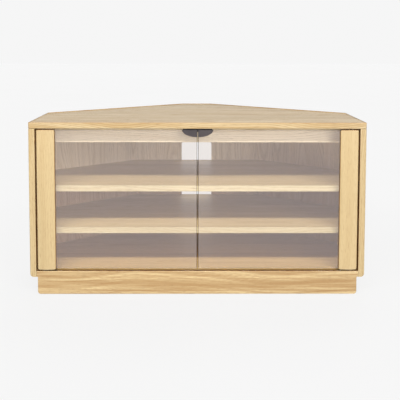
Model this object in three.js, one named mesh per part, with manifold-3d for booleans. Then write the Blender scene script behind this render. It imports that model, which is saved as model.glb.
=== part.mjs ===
// A corner television cabinet in oak, with two tinted glass doors on wooden hinge stiles.
// Lengths are in millimetres. X runs to the right, Y to the back and Z up. The straight front
// faces -Y, and the back narrows at 45 degrees on both sides, so that it fits a room's corner.

import * as THREE from "three";
import { mergeVertices } from "three/addons/utils/BufferGeometryUtils.js";
import Module from "manifold-3d";

const wasm = await Module();
wasm.setup();

// Overall form
const overallWidth = 1100;
const overallHeight = 567;
const straightSideDepth = 405;
const apexWidth = 114;
const boardThickness = 20;
const carcaseLift = 57;
const topCornerRadius = 4;
const lowerCornerRadius = 11;
const planCornerRadius = 3;
const panelArris = 2;
const fineArris = 1;
const seatGap = 0.3;
const cutOverrun = 5;

// Back panels, the slot for cables and the cleats under the top
const backInset = 5;
const backThickness = 12;
const backLip = 8;
const flatBackWidth = 486;
const slotWidth = 120;
const slotAboveUpperShelf = 74;
const slotBelowLowerShelf = 60;
const slotCornerRadius = 12;
const cleatSize = 22;
const cleatEndClearance = 20;

// Shelves, their pins and the rail behind the doors
const lowerCompartment = 118;
const middleCompartment = 120;
const shelfThickness = 20;
const shelfSetback = 40;
const shelfSideClearance = 1;
const shelfBackClearance = 3;
const shelfPinRadius = 2.5;
const shelfPinSocket = 8;
const shelfPinReach = 9;
const shelfPinChamfer = 0.6;
const frontPinSetback = 50;
const rearPinSetback = 40;
const backPinShare = 0.75;
const railHeight = 52;
const railThickness = 18;
const railSetback = 75;

// Plinth
const plinthInset = 25;
const plinthThickness = 18;
const plinthCornerRadius = 9;
const blockLeg = 40;
const blockHeight = 40;

// Doors
const doorSideGap = 5;
const doorEndGap = 4;
const meetingGap = 3;
const doorInset = 0.5;
const hingeOffset = 20;
const stileWidth = 60;
const stileThickness = 22;
const stileCrown = 1.6;
const stileArris = 3.5;
const stileCornerRadius = 5;
const glassThickness = 6;
const glassSetback = 8.5;
const glassArris = 0.8;
const glassShortening = 2.5;
const grooveDepth = 10;
const sealWall = 1.2;

// Pivots, at both ends of each stile
const pivotPinRadius = 3;
const pivotPinReach = 10;
const pivotPinChamfer = 0.8;
const bushWall = 2;
const bushLength = 11;
const flangeWidth = 1.6;
const plateWidth = 12;
const plateThickness = 2;
const plateEnd = 7;
const plateReach = 44;
const plateScrewSpacing = 17;
const plateScrewRadius = 1.8;
const countersinkRadius = 3.4;
const countersinkDepth = 1.5;

// Strike plates on the glass, and the touch latch that they meet
const strikeWidth = 49.5;
const strikeHeight = 24;
const strikeWall = 1.2;
const strikeRim = 2.5;
const strikeRecess = 0.5;
const latchWidth = 96;
const latchHeight = 12;
const latchDepth = 18.4;
const latchRearWall = 1.8;
const latchCornerRadius = 3;
const plungerSpacing = 48;
const plungerRadius = 3.5;
const plungerChamfer = 0.8;
const plungerProud = 4.6;
const plungerTravel = 3;
const springSpace = 1.5;
const latchScrewSpacing = 80;
const latchScrewRadius = 1.75;
const latchScrewHeadRadius = 3.4;
const latchScrewHeadHeight = 2;
const latchScrewGrip = 12;

// Facets of round forms
const curveSteps = 6;
const arrisSteps = 2;
const pinSides = 16;
const ringSides = 24;
const strikeSteps = 14;

// Planes that follow from the sizes above. A depth is a distance behind the front.
const overallDepth = straightSideDepth + (overallWidth - apexWidth) / 2;
const halfWidth = overallWidth / 2;
const sideInner = halfWidth - boardThickness;
const topUnderside = overallHeight - boardThickness;
const baseTop = carcaseLift + boardThickness;
const lowerShelfUnderside = baseTop + lowerCompartment;
const lowerShelfTop = lowerShelfUnderside + shelfThickness;
const upperShelfUnderside = lowerShelfTop + middleCompartment;
const upperShelfTop = upperShelfUnderside + shelfThickness;
const backOuterDiagonal = diagonalAt(backInset);
const backInnerDiagonal = diagonalAt(backInset + backThickness);
const flatBackInner = backInnerDiagonal - flatBackWidth / 2;
const flatBackOuter = flatBackInner + backThickness;
const doorBottom = baseTop + doorEndGap;
const doorTop = topUnderside - doorEndGap;
const pivotX = sideInner - doorSideGap - hingeOffset;
const pivotDepth = doorInset + stileThickness / 2;
const glassFront = glassSetback - stileThickness / 2;
const glassRear = glassFront + glassThickness;
const glassTop = doorTop - seatGap - strikeWall;
const meetingEdge = pivotX - meetingGap / 2;
const strikeRear = glassRear + seatGap + strikeWall;
const bushRadius = pivotPinRadius + seatGap + bushWall;
const flangeThickness = doorEndGap - 2 * seatGap;
const latchFront = pivotDepth + strikeRear + seatGap + plungerProud;
const latchRear = latchFront + latchDepth;
const latchTop = topUnderside - seatGap;
const plungerHeight = latchTop - latchHeight / 2;
const plungerBoreEnd = latchRear - latchRearWall;

// On a 45 degree edge of the plan, x plus the depth is the same all along. This gives that sum
// for a line the given distance inside the top panel's edge.
function diagonalAt(inset) {
  return halfWidth + straightSideDepth - inset * Math.SQRT2;
}

// The cabinet's six-sided plan: a straight front, two sides, two 45 degree edges and a flat back.
function cornerPlan(halfSpan, front, diagonal, back) {
  return [
    [-halfSpan, front],
    [halfSpan, front],
    [halfSpan, diagonal - halfSpan],
    [diagonal - back, back],
    [back - diagonal, back],
    [-halfSpan, diagonal - halfSpan],
  ];
}

// An outline through the points, each rounded; radii is one radius, or one for each point.
function roundedShape(points, radii) {
  const shape = new THREE.Shape();
  points.forEach((point, i) => {
    const corner = new THREE.Vector2(...point);
    const before = new THREE.Vector2(...points.at(i - 1)).sub(corner).normalize();
    const after = new THREE.Vector2(...points[(i + 1) % points.length]).sub(corner).normalize();
    const radius = Array.isArray(radii) ? radii[i] : radii;
    const cut = radius / Math.tan(Math.acos(before.dot(after)) / 2);
    const start = corner.clone().addScaledVector(before, cut);
    const end = corner.clone().addScaledVector(after, cut);
    if (i === 0) {
      shape.moveTo(start.x, start.y);
    } else {
      shape.lineTo(start.x, start.y);
    }
    if (radius > 0) {
      shape.quadraticCurveTo(corner.x, corner.y, end.x, end.y);
    }
  });
  shape.closePath();
  return shape;
}

// A rectangle between two opposite corners, as an outline.
function rectangle(left, low, right, high, radius = 0) {
  return roundedShape([[left, low], [right, low], [right, high], [left, high]], radius);
}

// A plan outline extruded from bottom to top, with its arrises softened.
function slab(shape, bottom, top, arris = 0) {
  const geometry = new THREE.ExtrudeGeometry(shape, {
    depth: top - bottom - 2 * arris,
    curveSegments: curveSteps,
    bevelEnabled: arris > 0,
    bevelThickness: arris,
    bevelSize: arris,
    bevelOffset: -arris,
    bevelSegments: arrisSteps,
  });
  geometry.translate(0, 0, bottom + arris);
  return geometry;
}

// An outline seen from the front, extruded from one depth to another.
function upright(shape, front, back, arris = 0) {
  return slab(shape, -back, -front, arris).rotateX(Math.PI / 2);
}

// A profile of [radius, height] points turned about the Z axis.
function turned(profile, sides) {
  const points = profile.map(([radius, height]) => new THREE.Vector2(radius, height));
  return new THREE.LatheGeometry(points, sides).rotateX(Math.PI / 2);
}

// A plain round bar from the origin along +Z, with its far end chamfered.
function bar(radius, length, chamfer, sides = pinSides) {
  const profile = [[0, 0], [radius, 0], [radius, length - chamfer], [radius - chamfer, length], [0, length]];
  return turned(profile, sides);
}

// A cutter for a round hole that starts at a point on a face and runs along a direction.
function drill(radius, depth, point, direction) {
  const profile = [[0, -cutOverrun], [radius, -cutOverrun], [radius, depth], [0, depth]];
  return solidOf(aimed(turned(profile, pinSides), point, direction));
}

// The rotation that takes +Z to a direction.
function towards(direction) {
  return new THREE.Quaternion().setFromUnitVectors(new THREE.Vector3(0, 0, 1), direction);
}

function aimed(geometry, point, direction) {
  return geometry.applyQuaternion(towards(direction)).translate(...point);
}

// A closed geometry as a solid that can be joined and cut.
function solidOf(geometry) {
  geometry.deleteAttribute("normal");
  geometry.deleteAttribute("uv");
  const merged = mergeVertices(geometry);
  const corners = merged.index.array;
  const kept = [];
  for (let i = 0; i < corners.length; i += 3) {
    const [a, b, c] = corners.subarray(i, i + 3);
    if (a !== b && b !== c && c !== a) {
      kept.push(a, b, c);
    }
  }
  const vertProperties = merged.attributes.position.array;
  const triVerts = new Uint32Array(kept);
  return new wasm.Manifold(new wasm.Mesh({ numProp: 3, vertProperties, triVerts }));
}

function geometryOf(solid) {
  const mesh = solid.getMesh();
  const positions = new THREE.BufferAttribute(Float32Array.from(mesh.vertProperties), 3);
  const indexed = new THREE.BufferGeometry().setAttribute("position", positions);
  indexed.setIndex(new THREE.BufferAttribute(Uint32Array.from(mesh.triVerts), 1));
  const geometry = indexed.toNonIndexed();
  geometry.computeVertexNormals();
  return geometry;
}

function finish(color, roughness, metalness = 0) {
  return () => new THREE.MeshStandardMaterial({ color, roughness, metalness });
}

const oak = finish(0xd9b987, 0.5);
const paleOak = finish(0xcfae7c, 0.6);
const blackPlastic = finish(0x24242a, 0.45);
const blackMetal = finish(0x2b2a30, 0.35, 0.8);
const steel = finish(0xb9babb, 0.35, 1);
const nylon = finish(0xd8d3c8, 0.55);
const sealRubber = finish(0x2e2a2a, 0.8);

function tintedGlass() {
  const material = new THREE.MeshStandardMaterial({ color: 0xa08c8c, roughness: 0.05, metalness: 0 });
  material.transparent = true;
  material.opacity = 0.35;
  return material;
}

function add(parent, name, solid, material) {
  const mesh = new THREE.Mesh(geometryOf(solid), material());
  mesh.name = name;
  parent.add(mesh);
  return mesh;
}

// The two hands of a piece: the sign of X on its side, and its name.
const hands = [
  { sign: -1, name: "left" },
  { sign: 1, name: "right" },
];

// One board of a ring of boards between two plans, mitred to its neighbours.
function mitredBoard(outer, inner, edge) {
  const next = (edge + 1) % outer.length;
  const start = new THREE.Vector2(...outer[edge]);
  const trim = new THREE.Vector2(...outer[next]).sub(start).setLength(seatGap / 2);
  const forward = ([x, y]) => [x + trim.x, y + trim.y];
  const backward = ([x, y]) => [x - trim.x, y - trim.y];
  const corners = [forward(outer[edge]), backward(outer[next]), backward(inner[next]), forward(inner[edge])];
  return roundedShape(corners, 0);
}

// Mirrors an outline's points to one hand.
function handed(sign, points) {
  return points.map(([x, y]) => [sign * x, y]);
}

// The front view of the carcase, with its rounded outer corners.
function carcaseEnvelope() {
  const corners = [
    [-halfWidth, carcaseLift],
    [halfWidth, carcaseLift],
    [halfWidth, overallHeight],
    [-halfWidth, overallHeight],
  ];
  const radii = [lowerCornerRadius, lowerCornerRadius, topCornerRadius, topCornerRadius];
  return solidOf(upright(roundedShape(corners, radii), -cutOverrun, overallDepth + cutOverrun));
}

// Where the shelf pins enter the side panels and the angled back panels of the right hand side.
function pinSeats(underside) {
  const height = underside - seatGap - shelfPinRadius;
  const rearPinDepth = backInnerDiagonal - sideInner - rearPinSetback;
  const backCornerX = flatBackWidth / 2;
  const backPinX = THREE.MathUtils.lerp(sideInner, backCornerX, backPinShare);
  const outwards = new THREE.Vector3(1, 0, 0);
  const diagonal = new THREE.Vector3(1, 1, 0).normalize();
  return [
    { name: "front", point: [sideInner, shelfSetback + frontPinSetback, height], direction: outwards },
    { name: "middle", point: [sideInner, rearPinDepth, height], direction: outwards },
    { name: "rear", point: [backPinX, backInnerDiagonal - backPinX, height], direction: diagonal },
  ];
}

function mirroredSeat(seat, sign) {
  const [x, y, z] = seat.point;
  const direction = seat.direction.clone();
  direction.x *= sign;
  return { name: seat.name, point: [sign * x, y, z], direction };
}

// All sockets for shelf pins on one hand; the seats of one kind are in a side or an angled panel.
function pinSockets(sign, names) {
  const seats = [lowerShelfUnderside, upperShelfUnderside].flatMap(pinSeats);
  return seats
    .filter((seat) => names.includes(seat.name))
    .map((seat) => mirroredSeat(seat, sign))
    .map((seat) => drill(shelfPinRadius + seatGap, shelfPinSocket + seatGap, seat.point, seat.direction));
}

function cutAll(solid, cutters) {
  return cutters.reduce((rest, cutter) => rest.subtract(cutter), solid);
}

// A pivot plate's outline about the pivot's axis, reaching towards the middle of the cabinet.
function plateShape(sign, grow) {
  const corners = [
    [-plateEnd - grow, -plateWidth / 2 - grow],
    [plateReach + grow, -plateWidth / 2 - grow],
    [plateReach + grow, plateWidth / 2 + grow],
    [-plateEnd - grow, plateWidth / 2 + grow],
  ];
  return roundedShape(handed(-sign, corners), planCornerRadius + grow);
}

// Pockets for the two pivot plates that open at a height, above it or below it.
function platePockets(height, deeper) {
  const depth = plateThickness + seatGap;
  const low = deeper > 0 ? height - cutOverrun : height - depth;
  return hands.map(({ sign }) => {
    const pocket = slab(plateShape(sign, seatGap), low, low + depth + cutOverrun);
    return solidOf(pocket.translate(sign * pivotX, pivotDepth, 0));
  });
}

function latchScrewPoints() {
  const depth = (latchFront + latchRear) / 2;
  return hands.map(({ sign }) => [sign * latchScrewSpacing / 2, depth]);
}

function topPanel() {
  const plan = cornerPlan(halfWidth, 0, diagonalAt(0), overallDepth);
  const board = solidOf(slab(roundedShape(plan, planCornerRadius), topUnderside, overallHeight, panelArris));
  const up = new THREE.Vector3(0, 0, 1);
  const pilots = latchScrewPoints().map(([x, y]) => {
    return drill(latchScrewRadius + seatGap, latchScrewGrip + seatGap, [x, y, topUnderside], up);
  });
  return cutAll(board.intersect(carcaseEnvelope()), [...pilots, ...platePockets(topUnderside, 1)]);
}

// A side panel ends at the back in a 45 degree rebate, whose lip hides the angled panel's edge.
function sidePanel(sign) {
  const lip = backLip / Math.SQRT2;
  const rebate = (backThickness + seatGap) / Math.SQRT2;
  const lipX = halfWidth - lip;
  const lipDepth = backOuterDiagonal - lipX;
  const seatDiagonal = backInnerDiagonal - seatGap * Math.SQRT2;
  const points = [
    [sideInner, 0],
    [halfWidth, 0],
    [halfWidth, backOuterDiagonal - halfWidth],
    [lipX, lipDepth],
    [lipX - rebate, lipDepth - rebate],
    [sideInner, seatDiagonal - sideInner],
  ];
  const shape = roundedShape(handed(sign, points), [fineArris, planCornerRadius, 0, 0, 0, 0]);
  const board = solidOf(slab(shape, carcaseLift, topUnderside - seatGap));
  return cutAll(board.intersect(carcaseEnvelope()), pinSockets(sign, ["front", "middle"]));
}

function basePanel() {
  const diagonal = backInnerDiagonal - seatGap * Math.SQRT2;
  const plan = cornerPlan(sideInner - seatGap, boardThickness + seatGap, diagonal, flatBackInner - seatGap);
  return solidOf(slab(roundedShape(plan, 0), carcaseLift, baseTop));
}

// The tall front board fills the opening between the sides, and steps in where the plinth starts.
function frontBaseBoard() {
  const wide = sideInner - seatGap;
  const narrow = halfWidth - plinthInset;
  const right = [
    [narrow, 0],
    [narrow, carcaseLift],
    [wide, carcaseLift],
    [wide, baseTop],
  ];
  const left = handed(-1, right).reverse();
  const radii = [plinthCornerRadius, 0, 0, 0, 0, 0, 0, plinthCornerRadius];
  const board = solidOf(upright(roundedShape([...right, ...left], radii), 0, boardThickness, fineArris));
  return cutAll(board, platePockets(baseTop, -1));
}

function angledBackPanel(sign) {
  const outerX = halfWidth - (backLip + seatGap) / Math.SQRT2;
  const innerX = outerX - backThickness / Math.SQRT2;
  const mitreTrim = seatGap / 2;
  const cornerOuterX = backOuterDiagonal - flatBackOuter + mitreTrim;
  const cornerInnerX = flatBackWidth / 2 + mitreTrim;
  const points = [
    [innerX, backInnerDiagonal - innerX],
    [outerX, backOuterDiagonal - outerX],
    [cornerOuterX, backOuterDiagonal - cornerOuterX],
    [cornerInnerX, backInnerDiagonal - cornerInnerX],
  ];
  const shape = roundedShape(handed(sign, points), 0);
  return cutAll(solidOf(slab(shape, carcaseLift, topUnderside - seatGap)), pinSockets(sign, ["rear"]));
}

function slotCutter() {
  const low = lowerShelfUnderside - slotBelowLowerShelf;
  const high = upperShelfTop + slotAboveUpperShelf;
  const shape = rectangle(-slotWidth / 2, low, slotWidth / 2, high, slotCornerRadius);
  return solidOf(upright(shape, flatBackInner - cutOverrun, flatBackOuter + cutOverrun));
}

function centreBackPanel() {
  const outer = backOuterDiagonal - flatBackOuter - seatGap / 2;
  const inner = flatBackWidth / 2 - seatGap / 2;
  const points = [
    [-inner, flatBackInner],
    [inner, flatBackInner],
    [outer, flatBackOuter],
    [-outer, flatBackOuter],
  ];
  const board = solidOf(slab(roundedShape(points, 0), carcaseLift, topUnderside - seatGap));
  return board.subtract(slotCutter());
}

function shelf(underside) {
  const diagonal = backInnerDiagonal - shelfSideClearance * Math.SQRT2;
  const span = sideInner - shelfSideClearance;
  const plan = cornerPlan(span, shelfSetback, diagonal, flatBackInner - shelfBackClearance);
  return solidOf(slab(roundedShape(plan, 0), underside, underside + shelfThickness, fineArris));
}

function topRail() {
  const span = sideInner - seatGap;
  const shape = rectangle(-span, topUnderside - railHeight, span, topUnderside - seatGap);
  return solidOf(upright(shape, railSetback, railSetback + railThickness, fineArris));
}

// The cleats lie under the top along the inside of the back panels.
function cleatPlans() {
  const span = sideInner - cleatEndClearance;
  const diagonal = backInnerDiagonal - seatGap * Math.SQRT2;
  const back = flatBackInner - seatGap;
  const outer = cornerPlan(span, 0, diagonal, back);
  const inner = cornerPlan(span, 0, diagonal - cleatSize * Math.SQRT2, back - cleatSize);
  return [outer, inner];
}

// The plinth's boards stand in a ring behind the front board, under the base panel.
function plinthPlan(inwards, frontGap = seatGap) {
  const span = halfWidth - plinthInset - inwards;
  const diagonal = backOuterDiagonal - (plinthInset + inwards) * Math.SQRT2;
  return cornerPlan(span, boardThickness + frontGap, diagonal, flatBackOuter - plinthInset - inwards);
}

// A triangular glue block in one corner of the plinth.
function plinthBlock(corner) {
  const plan = plinthPlan(plinthThickness + seatGap, seatGap).map((point) => new THREE.Vector2(...point));
  const before = plan.at(corner - 1);
  const at = plan[corner];
  const after = plan[(corner + 1) % plan.length];
  const along = (end) => at.clone().add(end.clone().sub(at).setLength(blockLeg)).toArray();
  const shape = roundedShape([along(before), at.toArray(), along(after)], 0);
  return solidOf(slab(shape, carcaseLift - seatGap - blockHeight, carcaseLift - seatGap));
}

function shelfPin() {
  return turned([
    [0, -shelfPinReach],
    [shelfPinRadius - shelfPinChamfer, -shelfPinReach],
    [shelfPinRadius, shelfPinChamfer - shelfPinReach],
    [shelfPinRadius, shelfPinSocket - shelfPinChamfer],
    [shelfPinRadius - shelfPinChamfer, shelfPinSocket],
    [0, shelfPinSocket],
  ], pinSides);
}

// A stile's section, about the pivot's axis: a crowned front with soft arrises, a square rear and
// a groove for the glass in the edge that faces the middle of the cabinet.
function stile(sign) {
  const side = -sign;
  const outer = -hingeOffset;
  const inner = stileWidth - hingeOffset;
  const front = -stileThickness / 2;
  const rear = stileThickness / 2;
  const shoulder = front + stileCrown;
  const middle = (outer + inner) / 2;
  const section = new THREE.Shape();
  section.moveTo(side * outer, shoulder + stileArris);
  section.quadraticCurveTo(side * outer, shoulder, side * (outer + stileArris), shoulder);
  section.quadraticCurveTo(side * middle, front - stileCrown, side * (inner - stileArris), shoulder);
  section.quadraticCurveTo(side * inner, shoulder, side * inner, shoulder + stileArris);
  section.lineTo(side * inner, rear - fineArris);
  section.lineTo(side * (inner - fineArris), rear);
  section.lineTo(side * (outer + fineArris), rear);
  section.lineTo(side * outer, rear - fineArris);
  section.closePath();
  const body = solidOf(slab(section, doorBottom, doorTop));
  const frontView = rectangle(side * outer, doorBottom, side * inner, doorTop, stileCornerRadius);
  const rounded = body.intersect(solidOf(upright(frontView, front - cutOverrun, rear + cutOverrun)));
  return cutAll(rounded, [grooveCutter(side, inner), ...bushHoles()]);
}

function grooveCutter(side, inner) {
  const halfGroove = glassThickness / 2 + sealWall + 2 * seatGap;
  const centre = (glassFront + glassRear) / 2;
  const floor = side * (inner - grooveDepth);
  const shape = rectangle(floor, centre - halfGroove, side * (inner + cutOverrun), centre + halfGroove);
  return solidOf(slab(shape, doorBottom - cutOverrun, doorTop + cutOverrun));
}

function bushHoles() {
  const up = new THREE.Vector3(0, 0, 1);
  const down = new THREE.Vector3(0, 0, -1);
  const depth = Math.max(bushLength, pivotPinReach) + 2 * seatGap;
  return [
    drill(bushRadius + seatGap, depth, [0, 0, doorBottom], up),
    drill(bushRadius + seatGap, depth, [0, 0, doorTop], down),
  ];
}

// The glass is one sheet, whose inner edge sits in the stile's groove inside a soft channel.
function doorGlass(sign) {
  const seated = stileWidth - hingeOffset - grooveDepth + 2 * seatGap + sealWall;
  const shape = rectangle(-sign * seated, doorBottom + glassShortening, -sign * meetingEdge, glassTop);
  return solidOf(upright(shape, glassFront, glassRear, glassArris));
}

function glassSeal(sign) {
  const mouth = stileWidth - hingeOffset;
  const floor = mouth - grooveDepth + seatGap;
  const front = glassFront - seatGap;
  const rear = glassRear + seatGap;
  const points = [
    [mouth, front - sealWall],
    [mouth, front],
    [floor + sealWall, front],
    [floor + sealWall, rear],
    [mouth, rear],
    [mouth, rear + sealWall],
    [floor, rear + sealWall],
    [floor, front - sealWall],
  ];
  const shape = roundedShape(handed(-sign, points), 0);
  return solidOf(slab(shape, doorBottom + glassShortening, glassTop));
}

// A quarter of an ellipse, hung from the top corner of the glass at the meeting edge.
function quarterEllipse(sign, margin) {
  const centreX = meetingEdge - margin;
  const centreHeight = doorTop - margin;
  const wide = strikeWidth - 2 * margin;
  const high = strikeHeight - 2 * margin;
  const arc = new THREE.EllipseCurve(centreX, centreHeight, wide, high, Math.PI, Math.PI * 1.5);
  const points = arc.getPoints(strikeSteps).map((point) => point.toArray());
  return roundedShape(handed(-sign, [[centreX, centreHeight], ...points]), 0);
}

// The strike plate is a clip over the top edge of the glass, with a raised rim on its face.
function strikePlate(sign) {
  const front = glassFront - seatGap - strikeWall;
  const clip = solidOf(upright(quarterEllipse(sign, 0), front, strikeRear));
  const nearEnd = -sign * (meetingEdge + cutOverrun);
  const farEnd = -sign * (meetingEdge - strikeWidth - cutOverrun);
  const slotShape = rectangle(farEnd, glassTop - strikeHeight, nearEnd, glassTop + seatGap);
  const slot = solidOf(upright(slotShape, glassFront - seatGap, glassRear + seatGap));
  const recess = solidOf(upright(quarterEllipse(sign, strikeRim), front - cutOverrun, front + strikeRecess));
  return cutAll(clip, [slot, recess]);
}

// A plate with its pin, drawn for the lower pivot: the plate's face is at height 0, the pin up.
function pivotPlate(sign) {
  const plate = solidOf(slab(plateShape(sign, 0), -plateThickness, 0));
  const pinLength = plateThickness + doorEndGap + pivotPinReach;
  const pin = bar(pivotPinRadius, pinLength, pivotPinChamfer, ringSides).translate(0, 0, -plateThickness);
  const screwHoles = [1, 2].map((count) => {
    const reach = turned([
      [0, -plateThickness - cutOverrun],
      [plateScrewRadius, -plateThickness - cutOverrun],
      [plateScrewRadius, -countersinkDepth],
      [countersinkRadius, 0],
      [countersinkRadius, cutOverrun],
      [0, cutOverrun],
    ], pinSides);
    return solidOf(reach.translate(-sign * count * plateScrewSpacing, 0, 0));
  });
  return cutAll(plate.add(solidOf(pin)), screwHoles);
}

// A flanged bush, drawn for the lower pivot: the flange's lower face is at height 0.
function doorBush() {
  const bore = pivotPinRadius + seatGap;
  const length = flangeThickness + bushLength;
  return solidOf(turned([
    [bore, 0],
    [bushRadius + flangeWidth, 0],
    [bushRadius + flangeWidth, flangeThickness],
    [bushRadius, flangeThickness],
    [bushRadius, length],
    [bore, length],
    [bore, 0],
  ], ringSides));
}

function latchHousing() {
  const shape = rectangle(-latchWidth / 2, latchFront, latchWidth / 2, latchRear, latchCornerRadius);
  const body = solidOf(slab(shape, latchTop - latchHeight, latchTop, fineArris));
  const backwards = new THREE.Vector3(0, 1, 0);
  const up = new THREE.Vector3(0, 0, 1);
  const bores = hands.map(({ sign }) => {
    const mouth = [sign * plungerSpacing / 2, latchFront, plungerHeight];
    return drill(plungerRadius + seatGap, plungerBoreEnd - latchFront, mouth, backwards);
  });
  const screws = latchScrewPoints().flatMap(([x, y]) => [
    drill(latchScrewRadius + seatGap, latchHeight + cutOverrun, [x, y, latchTop - latchHeight], up),
    drill(latchScrewHeadRadius + seatGap, latchScrewHeadHeight + seatGap, [x, y, latchTop - latchHeight], up),
  ]);
  return cutAll(body, [...bores, ...screws]);
}

// A plunger's magnet tip just meets the strike plate, and room for its spring is behind it.
function plungerSolid() {
  const length = plungerBoreEnd - springSpace - plungerTravel - (latchFront - plungerProud);
  return solidOf(turned([
    [0, 0],
    [plungerRadius - plungerChamfer, 0],
    [plungerRadius, plungerChamfer],
    [plungerRadius, length],
    [0, length],
  ], pinSides));
}

function latchScrew() {
  const length = latchHeight + seatGap + latchScrewGrip;
  return solidOf(turned([
    [0, seatGap],
    [latchScrewHeadRadius, seatGap],
    [latchScrewHeadRadius, latchScrewHeadHeight],
    [latchScrewRadius, latchScrewHeadHeight],
    [latchScrewRadius, length - latchScrewRadius],
    [0, length],
  ], pinSides));
}

function buildCarcase(cabinet) {
  const carcase = new THREE.Group();
  cabinet.add(carcase);
  add(carcase, "top_panel", topPanel(), oak);
  add(carcase, "base_panel", basePanel(), paleOak);
  add(carcase, "front_base_board", frontBaseBoard(), oak);
  add(carcase, "top_rail", topRail(), paleOak);
  add(carcase, "back_panel_centre", centreBackPanel(), paleOak);
  hands.forEach(({ sign, name }) => {
    add(carcase, "side_panel_" + name, sidePanel(sign), oak);
    add(carcase, "back_panel_" + name, angledBackPanel(sign), paleOak);
  });
  const [outer, inner] = cleatPlans();
  const cleatEdges = { back_cleat_right: 2, back_cleat_centre: 3, back_cleat_left: 4 };
  Object.entries(cleatEdges).forEach(([name, edge]) => {
    const cleat = slab(mitredBoard(outer, inner, edge), latchTop - cleatSize, latchTop);
    add(carcase, name, solidOf(cleat), paleOak);
  });
}

function buildPlinth(cabinet) {
  const plinth = new THREE.Group();
  cabinet.add(plinth);
  const boardNames = ["side_right", "back_right", "back_centre", "back_left", "side_left"];
  boardNames.forEach((name, i) => {
    const shape = mitredBoard(plinthPlan(0), plinthPlan(plinthThickness), i + 1);
    add(plinth, "plinth_" + name, solidOf(slab(shape, 0, carcaseLift - seatGap)), oak);
  });
  const blockNames = ["front_left", "front_right", "middle_right", "rear_right", "rear_left", "middle_left"];
  blockNames.forEach((name, corner) => {
    add(plinth, "plinth_block_" + name, plinthBlock(corner), paleOak);
  });
}

function buildShelf(cabinet, name, underside) {
  const group = new THREE.Group();
  cabinet.add(group);
  add(group, name + "_shelf", shelf(underside), oak);
  hands.forEach((hand) => {
    pinSeats(underside).forEach((rightSeat) => {
      const seat = mirroredSeat(rightSeat, hand.sign);
      const pin = add(group, name + "_pin_" + seat.name + "_" + hand.name, solidOf(shelfPin()), steel);
      pin.position.set(...seat.point);
      pin.quaternion.copy(towards(seat.direction));
    });
  });
}

// The pivots' plates stay with the carcase; the rest of the door turns with its group.
function buildDoor(cabinet, { sign, name }) {
  const pivots = new THREE.Group();
  pivots.position.set(sign * pivotX, pivotDepth, 0);
  cabinet.add(pivots);
  const lowerPlate = add(pivots, "pivot_plate_lower_" + name, pivotPlate(sign), steel);
  lowerPlate.position.z = baseTop;
  const upperPlate = add(pivots, "pivot_plate_upper_" + name, pivotPlate(-sign), steel);
  upperPlate.position.z = topUnderside;
  upperPlate.rotation.y = Math.PI;
  const door = new THREE.Group();
  door.position.copy(pivots.position);
  cabinet.add(door);
  add(door, "door_stile_" + name, stile(sign), oak);
  add(door, "door_glass_" + name, doorGlass(sign), tintedGlass);
  add(door, "glass_seal_" + name, glassSeal(sign), sealRubber);
  add(door, "strike_plate_" + name, strikePlate(sign), blackMetal);
  const lowerBush = add(door, "pivot_bush_lower_" + name, doorBush(), nylon);
  lowerBush.position.z = baseTop + seatGap;
  const upperBush = add(door, "pivot_bush_upper_" + name, doorBush(), nylon);
  upperBush.position.z = topUnderside - seatGap;
  upperBush.rotation.y = Math.PI;
}

function buildLatch(cabinet) {
  const latch = new THREE.Group();
  cabinet.add(latch);
  add(latch, "latch_housing", latchHousing(), blackPlastic);
  hands.forEach(({ sign, name }, i) => {
    const plunger = add(latch, "latch_plunger_" + name, plungerSolid(), blackMetal);
    plunger.position.set(sign * plungerSpacing / 2, latchFront - plungerProud, plungerHeight);
    plunger.quaternion.copy(towards(new THREE.Vector3(0, 1, 0)));
    const [x, y] = latchScrewPoints()[i];
    const screw = add(latch, "latch_screw_" + name, latchScrew(), steel);
    screw.position.set(x, y, latchTop - latchHeight);
  });
}

const model = new THREE.Group();
const cabinet = new THREE.Group();
cabinet.position.y = -overallDepth / 2;
model.add(cabinet);
buildCarcase(cabinet);
buildPlinth(cabinet);
buildShelf(cabinet, "lower", lowerShelfUnderside);
buildShelf(cabinet, "upper", upperShelfUnderside);
hands.forEach((hand) => buildDoor(cabinet, hand));
buildLatch(cabinet);

export default model;
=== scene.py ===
# A low corner cabinet for a television, in pale oak with two doors of tinted glass.
# This script gives the cabinet its finishes and fine surfaces, and sets up the studio round it.
import math

import bpy
import numpy as np
from mathutils import Matrix, Vector


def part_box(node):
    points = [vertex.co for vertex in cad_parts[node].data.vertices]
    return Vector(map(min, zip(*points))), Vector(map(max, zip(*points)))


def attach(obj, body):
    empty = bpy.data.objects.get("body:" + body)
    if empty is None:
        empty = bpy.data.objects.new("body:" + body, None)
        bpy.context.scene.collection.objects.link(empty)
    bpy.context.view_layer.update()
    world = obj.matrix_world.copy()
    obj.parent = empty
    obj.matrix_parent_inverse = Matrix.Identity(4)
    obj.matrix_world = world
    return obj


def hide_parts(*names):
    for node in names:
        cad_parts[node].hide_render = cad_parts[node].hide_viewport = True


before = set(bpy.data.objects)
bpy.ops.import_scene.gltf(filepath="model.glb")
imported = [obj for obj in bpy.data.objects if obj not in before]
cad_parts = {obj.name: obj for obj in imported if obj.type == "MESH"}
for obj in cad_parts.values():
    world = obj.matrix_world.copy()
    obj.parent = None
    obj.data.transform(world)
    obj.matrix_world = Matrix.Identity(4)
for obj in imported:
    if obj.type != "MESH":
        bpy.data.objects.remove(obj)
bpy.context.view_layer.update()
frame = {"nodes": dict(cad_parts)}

# The camera of the photograph, in metres and degrees, and its lens as a length in pixels
CAMERA_PLACE = (-0.0186, -3.3354, 0.8303)
CAMERA_TURN_RIGHT = 0.516
CAMERA_PITCH_DOWN = 5.035
CAMERA_ROLL = 0.109
FOCAL_PIXELS = 893.5
FRAME_PIXELS = 400
SENSOR_WIDTH = 36.0
VIEW_SHIFT = -0.2

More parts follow.
